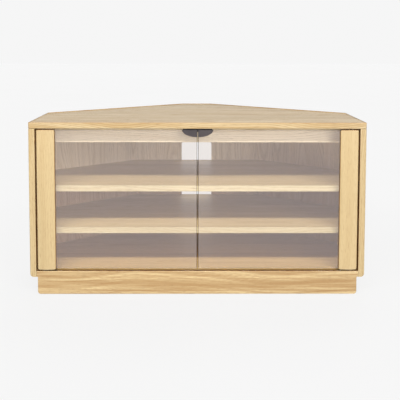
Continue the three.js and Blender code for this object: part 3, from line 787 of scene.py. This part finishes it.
def make_stile(hand, sign):
    """A stile's section carried up the door. Near both ends it narrows by what a quarter circle
    leaves, so that its corners are round from the front."""
    low, high = corners_of("door_stile_" + hand)
    outline = stile_outline(-sign, sign * PIVOT_X, low[1] + STILE_HALF_DEPTH)
    angle = np.linspace(0.0, 1.0, 10) * math.pi / 2
    near = STILE_ROUNDING * (1 - np.cos(angle)) + STILE_LEVEL_SHIFT
    insets, heights = edge_profile(low[2], high[2], STILE_END_ARRIS, STILE_END_ARRIS)
    levels = np.sort(np.concatenate([heights, low[2] + near, high[2] - near]))
    rings = stacked(outline, np.interp(levels, heights, insets), levels)
    narrowing = quarter_left(np.minimum(levels - low[2], high[2] - levels), STILE_ROUNDING)
    middle = (low[0] + high[0]) / 2
    half = (high[0] - low[0]) / 2
    rings[..., 0] = middle + (rings[..., 0] - middle) * (1 - narrowing / half)[:, None]
    return piece_of("stile_" + hand, [rings], "door_" + hand, ["door_stile_" + hand])


def make_seal(hand, sign):
    """The soft channel between stile and glass: a U with round lips, carried up the door."""
    low, high = corners_of("glass_seal_" + hand)
    mouth, floor = (high[0], low[0]) if sign < 0 else (low[0], high[0])
    front, rear = low[1], high[1]
    inner = floor - sign * SEAL_WALL
    near = [(floor, front), (mouth, front), (mouth, front + SEAL_WALL), (inner, front + SEAL_WALL)]
    far = [(inner, rear - SEAL_WALL), (mouth, rear - SEAL_WALL), (mouth, rear), (floor, rear)]
    radii = [SEAL_CORNER, SEAL_LIP, SEAL_LIP, SEAL_INNER_CORNER]
    outline = joined_outline(near + far, radii + radii[::-1], 4)
    rings = rounded_rings(outline, low[2], high[2], SEAL_CORNER)
    return piece_of("seal_" + hand, [rings], "door_" + hand, ["glass_seal_" + hand])


def make_glass(hand):
    """A sheet with polished, rounded edges."""
    low, high = corners_of("door_glass_" + hand)
    outline = box_outline(low, high, (0, 2), GLASS_CORNER)
    rings = rounded_rings(outline, low[1], high[1], GLASS_ARRIS, (0, 2, 1))
    return piece_of("glass_" + hand, [rings], "door_" + hand, ["door_glass_" + hand])


def quarter_ellipse(corner_x, corner_z, wide, high):
    """The corner, and points along the ellipse. Between its two tips and the nearest other points
    there is room for a round corner."""
    angle = np.concatenate([[0.0], np.linspace(*STRIKE_CURVE), [math.pi / 2]])
    x = corner_x + wide * np.cos(angle)
    z = corner_z - high * np.sin(angle)
    corners = np.vstack([[(corner_x, corner_z)], np.stack([x, z], axis=1)])
    radii = np.zeros(len(corners))
    radii[[0, 1, -1]] = STRIKE_CORNER
    return joined_outline(corners, radii, 6)


def make_strike(hand, sign):
    """A quarter plate on the glass's top corner: a rim that rolls over into a shallow dish, a
    plain leaf behind the glass, and a strip over the glass's edge that joins them."""
    low, high = corners_of("strike_plate_" + hand)
    glass_low, glass_high = corners_of("door_glass_" + hand)
    meeting = high[0] if sign < 0 else low[0]
    outline = quarter_ellipse(meeting, high[2], sign * (high[0] - low[0]), high[2] - low[2])
    angle = np.linspace(0.0, math.pi / 2, 5)
    roll = STRIKE_ROLL
    bottom = STRIKE_RIM + roll + STRIKE_DISH
    insets = [[0.0], roll * (1 - np.cos(angle)), STRIKE_RIM + roll * np.sin(angle), [bottom]]
    depths = [[glass_low[1] - low[1]], roll * (1 - np.sin(angle)), roll * (1 - np.cos(angle)), [roll]]
    levels = low[1] + np.concatenate(depths)
    front = stacked(outline, np.concatenate(insets), levels)[..., [0, 2, 1]]
    rear = rounded_rings(outline, glass_high[1] + STRIKE_GAP, high[1], STRIKE_ARRIS, (0, 2, 1))
    low[1] += STRIKE_ARRIS
    high[1] -= STRIKE_GAP
    strip = box_outline(low, high, (0, 1), STRIKE_GAP, 3)
    bridge = rounded_rings(strip, glass_high[2] + STRIKE_GAP, high[2] - STRIP_DROP, STRIP_ARRIS)
    shells = [front, rear, bridge]
    return piece_of("strike_" + hand, shells, "door_" + hand, ["strike_plate_" + hand])


def make_pin(level, hand, sign, place):
    """A shelf pin: a plain round bar with a groove where it enters the board and a domed end."""
    node = f"{level}_pin_{place}_{hand}"
    low, high = corners_of(node)
    outwards = (sign * DIAGONAL, DIAGONAL, 0.0) if place == "rear" else (sign, 0.0, 0.0)
    dome = np.linspace(DOME_START, 1.0, 7) * math.pi / 2
    half = PIN_LENGTH / 2
    neck = PIN_GROOVE_SHARE
    radii = PIN_RADIUS * np.array([*np.sin(dome), 1.0, neck, neck, 1.0, 1.0, PIN_END_SHARE])
    groove = PIN_REACH - half - np.array(PIN_GROOVE_STEPS)
    heights = [*(-half + PIN_DOME * (1 - np.cos(dome))), *groove, half - PIN_END, half]
    rings = turned_rings(radii, heights, (low + high) / 2, outwards, PIN_SIDES)
    return piece_of(f"{level}_peg_{place}_{hand}", [rings], "carcase", [node])


def make_plunger(hand):
    """One of the touch latch's plungers: a round bar with a domed magnet tip in a collar."""
    low, high = corners_of("latch_plunger_" + hand)
    radius = (high[0] - low[0]) / 2
    tip = (low + high) / 2
    tip[1] = low[1]
    dome = np.linspace(DOME_START, 1.0, 6) * math.pi / 2
    radii = radius * np.array([*(TIP_DOME_SHARE * np.sin(dome)), *TIP_SHARES])
    length = high[1] - low[1]
    collar = [TIP_DOME, TIP_EDGE, 2 * TIP_EDGE, length - TIP_EDGE, length]
    heights = [*(TIP_DOME * (1 - np.cos(dome))), *collar]
    rings = turned_rings(radii, heights, tip, BACK, TIP_SIDES)
    replaced = ["latch_plunger_" + hand]
    return piece_of("latch_tip_" + hand, [rings], "plunger_" + hand, replaced)


def soft_bar(along, across, head):
    """One inside a bar half as long as the head is wide, nought outside it: at each of its sides
    the distance past it falls off evenly over a short slope."""
    bar = 1.0
    for distance, (half, slope) in ((across, RECESS_WIDTH_SHARES), (along, RECESS_LENGTH_SHARES)):
        bar = bar * np.clip((half * head - distance) / (slope * head), 0.0, 1.0)
    return bar


def screw_rings(point, outwards, head, shank, length, cone):
    """A screw driven inwards from a point on a face: a cone under a head whose cross recess is
    two crossing grooves, each the product of two soft steps."""
    radii = [SCREW_SKIN, shank, shank, head]
    heights = np.array([-length, 3 * shank - length, -cone, -SCREW_SKIN])
    angle = np.linspace(0.0, 2 * math.pi, SCREW_SIDES, endpoint=False)
    reach = head * np.concatenate([RIM_SHARES, np.linspace(0.88, 0.04, 16)])
    u = np.abs(reach[:, None] * np.cos(angle))
    v = np.abs(reach[:, None] * np.sin(angle))
    groove = np.maximum(soft_bar(u, v, head), soft_bar(v, u, head))
    crown = CROWN_SHARE * head * (1 - (reach / head) ** 2)
    top = crown[:, None] - RECESS_DEPTH_SHARE * head * groove
    levels = np.concatenate([np.repeat(heights[:, None], SCREW_SIDES, axis=1), top])
    return turned_rings(np.concatenate([radii, reach]), levels, point, outwards, SCREW_SIDES)


def make_latch_screw(hand):
    node = "latch_screw_" + hand
    low, high = corners_of(node)
    point = (low + high) / 2
    point[2] = low[2] + SCREW_SKIN
    sizes = ((high[0] - low[0]) / 2, LATCH_SCREW_SHANK, high[2] - low[2], LATCH_SCREW_CONE)
    rings = screw_rings(point, (0.0, 0.0, -1.0), *sizes)
    return piece_of("latch_fixing_" + hand, [rings], "carcase", [node])


def make_plate_screws(level, way, hand, sign):
    """The two screws that hold a pivot plate to the carcase."""
    low, high = corners_of(f"pivot_plate_{level}_{hand}")
    face = low[2] + PLATE_THICKNESS if way > 0 else high[2] - PLATE_THICKNESS
    pivot = sign * (max(abs(low[0]), abs(high[0])) - PLATE_END)
    shells = []
    for count in (1, 2):
        x = pivot - sign * count * PLATE_SCREW_SPACING
        place = (x, (low[1] + high[1]) / 2, face - way * SCREW_LIFT)
        shells.append(screw_rings(place, (0.0, 0.0, way), *PLATE_SCREW))
    return piece_of(f"pivot_screws_{level}_{hand}", shells, "carcase")


def make_screws():
    """The latch's two screws, those of the pivot plates, and those that hold the back panels."""
    made = []
    for hand, sign in HANDS.items():
        made.append(make_latch_screw(hand))
        for level, way in (("lower", 1.0), ("upper", -1.0)):
            made.append(make_plate_screws(level, way, hand, sign))
    low, high = corners_of("back_panel_centre")
    rows = (low[2] + BACK_SCREW_RISE, high[2] - BACK_SCREW_DROP)
    places = [(x, high[1], z) for z in rows for x in FLAT_BACK_SCREWS]
    shells = [screw_rings(place, BACK, *BACK_SCREW) for place in places]
    made.append(piece_of("back_screws_centre", shells, "carcase"))
    for hand, sign in HANDS.items():
        outside = node_diagonal("back_panel_" + hand)
        places = [(sign * x, outside - x, z) for z in rows for x in SLANT_BACK_SCREWS]
        shells = [screw_rings(place, (sign, 1.0, 0.0), *BACK_SCREW) for place in places]
        made.append(piece_of("back_screws_" + hand, shells, "carcase"))
    return made


def make_pieces():
    """All the pieces with finer surfaces than their nodes: the boards and doors, then what is of
    black metal, then what is of steel."""
    made = [make_plan_board("top_board", "top_panel", TOP_CORNER, PANEL_ARRIS)]
    for node in ("lower_shelf", "upper_shelf"):
        made.append(make_plan_board(node + "_board", node, SHELF_CORNER, ARRIS))
    made += [make_front_board(), make_rail()]
    for hand, sign in HANDS.items():
        made += [make_side(hand, sign), make_stile(hand, sign), make_seal(hand, sign)]
        made += [make_glass(hand), make_strike(hand, sign)]
    pins = [
        make_pin(level, hand, sign, place)
        for level in ("lower", "upper") for hand, sign in HANDS.items() for place in PLACES
    ]
    plungers = [make_plunger(hand) for hand in HANDS]
    return {piece.name: piece for piece in made}, plungers, pins + make_screws()


def board_frame(obj, grain, face):
    """A board's own axes, as rows: along the grain, across it and out of its face. Gives them with
    the board's middle and half its size along them."""
    axes = np.stack([grain, np.cross(face, grain), face])
    own = mesh_points(obj) @ axes.T
    low, high = own.min(axis=0), own.max(axis=0)
    return axes, (low + high) / 2, (high - low) / 2


def box_region(low, high):
    """A region that is one inside a box and nought outside it, by the largest of the three
    distances past the box's faces."""
    low, high = np.array(low), np.array(high)

    def share(nodes, place):
        apart = nodes.vector("SUBTRACT", place, ((low + high) / 2).tolist())
        past = nodes.vector("SUBTRACT", nodes.vector("ABSOLUTE", apart), ((high - low) / 2).tolist())
        x, y, z = nodes.split(past)
        past = nodes.math("MAXIMUM", nodes.math("MAXIMUM", x, y), z)
        return nodes.step(past, REGION_SOFTNESS, -REGION_SOFTNESS)

    return share


def past_back(nodes, place):
    """How far a place lies outside the back panels' middle, by the larger of two distances: past
    that of the flat panel and past those of the 45 degree ones."""
    x, y, _ = nodes.split(place)
    low, high = corners_of("back_panel_centre")
    diagonal = node_diagonal("back_panel_left") - BACK_THICKNESS / 2 / DIAGONAL
    behind = nodes.minus(y, (low[1] + high[1]) / 2)
    beside = nodes.minus(nodes.plus(nodes.math("ABSOLUTE", x), y), diagonal)
    return nodes.math("MAXIMUM", behind, beside)


def outer_back(nodes, place):
    """A region that is one on the outside of the back panels."""
    return nodes.step(past_back(nodes, place), -WOOD_SKIN, WOOD_SKIN)


def low_back_painted_shade_region(nodes, place):
    """A region that is one inside the back panels, below the middle of the upper shelf, where painted
    shade darkens the walls.
    """
    low, high = corners_of("upper_shelf")
    above = nodes.minus(nodes.split(place)[2], (low[2] + high[2]) / 2)
    past = nodes.math("MAXIMUM", above, past_back(nodes, place))
    return nodes.step(past, WOOD_SKIN, -WOOD_SKIN)


def wood_colour(nodes, drawn, colours, streaks):
    """Pale wood, darker by its rings, fibre, pores and glue joints, times the log's own tone."""
    bands = nodes.times(drawn["Bands"], 1 - RING_SHARE)
    ring = nodes.scaled(drawn["Rings"], RING_SHARE, bands)
    colour = nodes.mix(ring, colours["pale"], colours["ring"])
    fibre = nodes.times(nodes.step(drawn["Fibre"], 0.35, 0.75), streaks)
    colour = nodes.mix(fibre, colour, colours["ring"])
    for mark, share in (("Pores", PORE_SHARE), ("Joint", JOINT_SHARE)):
        colour = nodes.mix(nodes.times(drawn[mark], share), colour, colours["pore"])
    bright = nodes.scaled(drawn["Tone"], 0.22, 0.89)
    return nodes.mix(1.0, colour, nodes.join(bright, bright, bright), "MULTIPLY")


def with_heart(nodes, place, colour, dark):
    """The wood with a darker streak along the board, whose middle drifts to and fro with noise."""
    centre, width, share = HEART
    wander = nodes.noise(place, HEART_NOISE, 4.0)
    drift = nodes.scaled(wander, HEART_DRIFT, -HEART_DRIFT / 2 - centre)
    off = nodes.math("ABSOLUTE", nodes.plus(nodes.split(place)[1], drift))
    streak = nodes.step(off, width, 0.2 * width)
    return nodes.mix(nodes.times(streak, share), colour, dark)


def oak(obj, grain, face, colours, stave, pith, seed, finish=FINISH, shades=(), heart=False):
    """Lacquered oak for one board: the log's figure in its own axes, and edges rubbed paler, partly
    from wear and partly as a painted highlight. Shades are regions of painted light or shade, each
    with what the wood's colour is multiplied by there."""
    axes, middle, half = board_frame(obj, grain, face)
    material, nodes = new_material("oak_" + obj.name)
    whole_place = nodes.object_place()
    turn = Matrix(axes.tolist()).to_euler()
    inputs = {"Vector": whole_place, "Location": (-middle).tolist(), "Rotation": turn}
    place = nodes.add("Mapping", inputs).outputs[0]
    cut = {"Place": place, "Stave": stave, "Pith": pith, "Seed": seed}
    drawn = nodes.add("Group", cut, node_tree=OAK_FIGURE).outputs
    sized = {"Place": place, "Half": half.tolist()}
    edge = nodes.add("Group", sized, node_tree=EDGE_DISTANCE).outputs[0]

    colour = wood_colour(nodes, drawn, colours, finish["streaks"])
    if heart:
        colour = with_heart(nodes, place, colour, colours["ring"])
    broken = nodes.step(nodes.noise(place, 45.0, 3.0), 0.3, 0.7)
    # Edges paler where rubbed, which also paints in the highlight their rounding catches
    worn = nodes.times(nodes.step(edge, *WORN_HIGHLIGHT_REACH), broken)
    colour = nodes.mix(nodes.times(worn, WORN_HIGHLIGHT_SHARE), colour, colours["worn"])
    # Painted light and shade over the given regions
    for region, shade in shades:
        shaded = nodes.mix(1.0, colour, shade, "MULTIPLY")
        colour = nodes.mix(region(nodes, whole_place), colour, shaded)

    handled = nodes.noise(place, 9.0, 3.0)
    roughness = nodes.scaled(handled, LACQUER_SPREAD, LACQUER_ROUGHNESS)
    roughness = nodes.scaled(drawn["Pores"], 0.25, roughness)
    roughness = nodes.scaled(worn, -0.08, roughness)
    height = nodes.scaled(drawn["Pores"], -1.0, nodes.times(drawn["Fibre"], 0.5))
    height = nodes.minus(height, nodes.times(drawn["Joint"], 0.6))
    nodes.surface({
        "Base Color": colour,
        "Roughness": roughness,
        "Normal": nodes.bump(height, PORE_DEPTH, 0.6),
        "Specular IOR Level": finish["sheen"],
        "Coat Weight": finish["coat"],
        "Coat Roughness": COAT_ROUGHNESS,
    })
    return material


def tinted_glass():
    """Smooth grey-brown glass. Light from lamps and from the wood behind passes straight through
    it, a little weakened, and fingers have left it a touch uneven. Where the two sheets meet, their
    edges are dark, because one looks through much more glass there. The upper and lower edges are
    ground dull."""
    material, nodes = new_material("tinted_glass")
    place = nodes.object_place()
    x, _, z = nodes.split(place)
    smears = nodes.noise(place, (14.0, 14.0, 9.0), 4.0, 0.6)
    colour = nodes.mix(nodes.noise(place, 3.0, 1.0), *GLASS_TINTS)
    reach = (GLASS_EDGE + GLASS_EDGE_SOFTNESS, GLASS_EDGE - GLASS_EDGE_SOFTNESS)
    meeting = nodes.step(nodes.math("ABSOLUTE", x), *reach)
    colour = nodes.mix(meeting, colour, GLASS_EDGE_TINT)
    low, high = corners_of("door_glass_left")
    half = (high[2] - low[2]) / 2
    above_middle = nodes.math("ABSOLUTE", nodes.minus(z, (low[2] + high[2]) / 2))
    ground = nodes.step(above_middle, *(half - width for width in GROUND_REACH))
    roughness = nodes.times(nodes.step(smears, 0.5, 0.8), SMEAR_ROUGHNESS)
    roughness = nodes.scaled(ground, GROUND_ROUGHNESS, roughness)
    inputs = {
        "Base Color": colour,
        "Roughness": roughness,
        "IOR": GLASS_INDEX,
        "Transmission Weight": GLASS_PASSING,
        "Specular Tint": MIRRORED_TINT,
    }
    glass = nodes.add("BsdfPrincipled", inputs)
    clear = nodes.add("BsdfTransparent", {"Color": CLEAR_TINT})
    path = nodes.add("LightPath", {}).outputs
    straight = nodes.math("MAXIMUM", path["Is Shadow Ray"], path["Is Diffuse Ray"])
    mixed = nodes.add("MixShader", {0: straight, 1: glass.outputs[0], 2: clear.outputs[0]})
    nodes.add("OutputMaterial", {"Surface": mixed.outputs[0]})
    return material


def speckled(name, dark, pale, roughness, grain, bump, metallic):
    """A painted, plated or moulded finish: fine grain in its colour, roughness and surface."""
    material, nodes = new_material(name)
    place = nodes.object_place()
    fine = nodes.noise(place, grain, 3.0, 0.6)
    broad = nodes.noise(place, 22.0)
    share = nodes.scaled(fine, 0.5, nodes.times(broad, 0.5))
    least, most = roughness
    nodes.surface({
        "Base Color": nodes.mix(share, dark, pale),
        "Roughness": nodes.scaled(broad, most - least, least),
        "Normal": nodes.bump(fine, bump, 0.5),
        "Metallic": metallic,
    })
    return material


def brushed_steel():
    """Bright plated steel with fine lines along X and small dull marks."""
    material, nodes = new_material("bright_steel")
    place = nodes.object_place()
    lines = nodes.noise(place, STEEL_NOISE)
    marks = nodes.noise(place, 180.0, 3.0)
    nodes.surface({
        "Base Color": nodes.mix(lines, *STEEL_COLOURS),
        "Roughness": nodes.scaled(marks, 0.22, 0.2),
        "Normal": nodes.bump(lines, 0.00002, 0.5),
        "Metallic": 1.0,
    })
    return material


def give(material, *names):
    """Puts one material on the named pieces, in place of what they came with."""
    for name in names:
        materials = bpy.data.objects[name].data.materials
        materials.clear()
        materials.append(material)


def carcase_shades():
    """Regions of the carcase's boards with painted light or shade, each with its colour multiplier."""
    near, far = DOOR_GAP_DEPTHS
    low, high = corners_of("front_base_board")
    gap_floor = high[2] + GAP_FLOOR
    # Painted shade on the front board's top, in the gap under the doors
    under = box_region((low[0], near, high[2] - BOARD_SKIN), (high[0], far, high[2] + WOOD_SKIN))
    low, high = corners_of("top_panel")
    # Painted light on the top's edges: paler in green and blue than its face, for how the light falls
    # there
    edges = box_region(low - REGION_REACH, high + (REGION_REACH, REGION_REACH, -TOP_SKIN))
    shades = {"front_board": [(under, GAP_PAINTED_SHADE)], "top_board": [(edges, TOP_EDGE_PAINTED_LIGHT)]}
    for name in ("centre", "left", "right"):
        # Painted shade inside the back panels below the upper shelf, and a darker outside that takes
        # back the inside oak's painted paleness
        backs = [(low_back_painted_shade_region, LOW_BACK_PAINTED_SHADE), (outer_back, OUTER_BACK_SHADE)]
        shades["back_panel_" + name] = backs
    for name in ("lower_shelf", "upper_shelf"):
        low, high = corners_of(name)
        # Painted shade on the shelves' front edges, toned down and greyer for how strongly the strip
        # light falls on them
        nearest = (low[0] - REGION_REACH, low[1] - REGION_REACH, low[2])
        farthest = (high[0] + REGION_REACH, low[1] + WOOD_SKIN, high[2] + REGION_REACH)
        shades[name + "_board"] = [(box_region(nearest, farthest), SHELF_EDGE_PAINTED_SHADE)]
    for hand, sign in HANDS.items():
        low, high = corners_of("side_panel_" + hand)
        inner = high[0] if sign < 0 else low[0]
        # Painted shade on the side board's inner face, in the gap beside the door
        beside = box_region((inner - WOOD_SKIN, near, gap_floor), (inner + WOOD_SKIN, far, high[2]))
        shades["side_board_" + hand] = [(beside, SIDE_GAP_PAINTED_SHADE)]
    return shades


def board_finish(name, colours):
    if name in ("base_panel", "lower_shelf_board"):
        return DULL_FINISH
    if colours in (WALL_OAK, SHELF_OAK):
        return INNER_FINISH
    if colours is TOP_OAK:
        return TOP_FINISH
    return BOARD_FINISH if colours is BOARD_OAK else FINISH


def finish_carcase(made):
    nodes = frame["nodes"] | made
    boards = dict(BOARDS)
    for hand, sign in HANDS.items():
        outwards = (sign, 0.0, 0.0)
        boards["side_board_" + hand] = (UP, outwards, OUTER_OAK, 0.13, 0.07, 2.3 + sign)
        boards["plinth_side_" + hand] = (BACK, outwards, OUTER_OAK, 0.5, 0.05, 5.3 + sign)
        for count, place in enumerate(PLACES):
            block = f"plinth_block_{place}_{hand}"
            boards[block] = (UP, BACK, WALL_OAK, 0.5, 0.04, 3.9 + sign + count)
    shades = carcase_shades()
    for name, board in boards.items():
        finish = board_finish(name, board[2])
        heart = name == "front_board"
        give(oak(nodes[name], *board, finish, shades.get(name, ()), heart), name)


def finish_stile(made, hand, sign):
    """A stile's oak, with painted shade on its edge at the glass and on its upper end."""
    near, far = DOOR_GAP_DEPTHS
    low, high = corners_of("door_stile_" + hand)
    inner = high[0] if sign < 0 else low[0]
    # Painted shade along the stile's edge at the glass
    nearest = (inner - STILE_SKIN, near - WOOD_SKIN, low[2])
    at_glass = box_region(nearest, (inner + STILE_SKIN, far, high[2]))
    # Painted shade on the stile's upper end, in the gap over the door
    over_it = box_region((low[0], near, high[2] - WOOD_SKIN), (high[0], far, high[2] + WOOD_SKIN))
    shades = [(at_glass, STILE_EDGE_PAINTED_SHADE), (over_it, SIDE_GAP_PAINTED_SHADE)]
    name = "stile_" + hand
    give(oak(made[name], *STILE, 4.4 + 1.3 * sign, shades=shades), name)


def finish_fittings(plungers, steel_pieces):
    glass = tinted_glass()
    finishes = {name: speckled(name, *values) for name, values in SPECKLED.items()}
    for hand in HANDS:
        give(glass, "glass_" + hand)
        give(finishes["seal_rubber"], "seal_" + hand)
        give(finishes["black_metal"], "strike_" + hand)
        for level in ("lower", "upper"):
            give(finishes["dark_steel"], f"pivot_plate_{level}_{hand}")
            give(finishes["brown_nylon"], f"pivot_bush_{level}_{hand}")
    give(finishes["black_plastic"], "latch_housing")
    give(finishes["black_metal"], *(piece.name for piece in plungers))
    bright = brushed_steel()
    for piece in steel_pieces:
        dark = piece.name.startswith("pivot_screws")
        give(finishes["dark_steel"] if dark else bright, piece.name)


def make_camera():
    """The photograph's camera. Its axes are worked out from how far it is turned, tipped and rolled."""
    angles = (CAMERA_TURN_RIGHT, CAMERA_PITCH_DOWN, CAMERA_ROLL)
    turn, pitch, roll = (math.radians(angle) for angle in angles)
    flat_ahead = np.array([math.sin(turn), math.cos(turn), 0.0])
    ahead = math.cos(pitch) * flat_ahead - math.sin(pitch) * np.array(UP)
    level = np.array([math.cos(turn), -math.sin(turn), 0.0])
    above = np.cross(level, ahead)
    sideways = math.cos(roll) * level + math.sin(roll) * above
    upwards = math.cos(roll) * above - math.sin(roll) * level
    lens = bpy.data.cameras.new("camera")
    lens.sensor_width = SENSOR_WIDTH
    lens.lens = FOCAL_PIXELS / FRAME_PIXELS * SENSOR_WIDTH
    lens.shift_y = VIEW_SHIFT
    camera = bpy.data.objects.new("camera", lens)
    axes = Matrix(np.stack([sideways, upwards, -ahead], axis=1).tolist())
    camera.matrix_world = Matrix.Translation(CAMERA_PLACE) @ axes.to_4x4()
    bpy.context.scene.collection.objects.link(camera)
    bpy.context.scene.camera = camera


def make_floor():
    """A wide pale floor that glows, as one lit from below does. The camera sees it glow more where
    the strip light no longer reaches, so that it runs into the backdrop unseen."""
    half = FLOOR_SIZE / 2
    mesh = bpy.data.meshes.new("floor")
    corners = [(-half, -half), (half, -half), (half, half), (-half, half)]
    mesh.from_pydata([(x, y, -FLOOR_DROP) for x, y in corners], [], [(0, 1, 2, 3)])
    floor = bpy.data.objects.new("floor", mesh)
    bpy.context.scene.collection.objects.link(floor)
    material, nodes = new_material("pale_floor")
    place = nodes.object_place()
    low, high = ((grey, grey, grey, 1.0) for grey in FLOOR_GREYS)
    away = nodes.length(nodes.vector("SUBTRACT", place, (STRIP_PLACE[0], STRIP_PLACE[1], 0.0)))
    rise = nodes.step(away, *GLOW_REACH)
    seen_glow = nodes.scaled(rise, FAR_GLOW - NEAR_GLOW, NEAR_GLOW)
    seen = nodes.add("LightPath", {}).outputs["Is Camera Ray"]
    more = nodes.times(seen, nodes.minus(seen_glow, FLOOR_LIGHT))
    nodes.surface({
        "Base Color": nodes.mix(nodes.noise(place, 0.7), low, high),
        "Roughness": 0.9,
        "Emission Color": (1.0, 1.0, 1.0, 1.0),
        "Emission Strength": nodes.plus(more, FLOOR_LIGHT),
        "Specular IOR Level": 0.1,
    })
    mesh.materials.append(material)


def make_lamp(name, way, width, strength):
    light = bpy.data.lights.new(name, "SUN")
    light.angle = math.radians(width)
    light.energy = strength
    lamp = bpy.data.objects.new(name, light)
    lamp.rotation_euler = Vector(way).to_track_quat("Z", "Y").to_euler()
    bpy.context.scene.collection.objects.link(lamp)
    return lamp


def make_strip():
    """A long level strip light, high up in front of the cabinet."""
    light = bpy.data.lights.new("strip_light", "AREA")
    light.shape = "RECTANGLE"
    light.size, light.size_y = STRIP_SIZE
    light.energy = STRIP_POWER
    lamp = bpy.data.objects.new("strip_light", light)
    turn = (Vector(STRIP_PLACE) - Vector(STRIP_AIM)).to_track_quat("Z", "Y")
    lamp.matrix_world = Matrix.Translation(STRIP_PLACE) @ turn.to_matrix().to_4x4()
    bpy.context.scene.collection.objects.link(lamp)


def make_studio():
    """Soft light from all round, which is seen and mirrored as a paler backdrop, and three lamps.
    The one behind leaves no gleam of its own on the wood."""
    world = bpy.data.worlds.new("studio")
    world.use_nodes = True
    world.node_tree.nodes.clear()
    nodes = Nodes(world.node_tree)
    white = (1.0, 1.0, 1.0, 1.0)
    light = nodes.add("Background", {"Color": white, "Strength": AMBIENT})
    backdrop = nodes.add("Background", {"Color": white, "Strength": BACKDROP})
    path = nodes.add("LightPath", {}).outputs
    seen = nodes.math("MAXIMUM", path["Is Camera Ray"], path["Is Glossy Ray"])
    mixed = nodes.add("MixShader", {0: seen, 1: light.outputs[0], 2: backdrop.outputs[0]})
    nodes.add("OutputWorld", {"Surface": mixed.outputs[0]})
    bpy.context.scene.world = world
    make_strip()
    make_lamp("fill_lamp", *FILL_LAMP)
    make_lamp("rear_lamp", *REAR_LAMP).visible_glossy = False
    view = bpy.context.scene.view_settings
    view.view_transform = "Standard"
    view.look = "None"


make_camera()
make_studio()
make_floor()
boards_and_doors, latch_plungers, steel_fittings = make_pieces()
finish_carcase(boards_and_doors)
for hand_name, hand_sign in HANDS.items():
    finish_stile(boards_and_doors, hand_name, hand_sign)
finish_fittings(latch_plungers, steel_fittings)
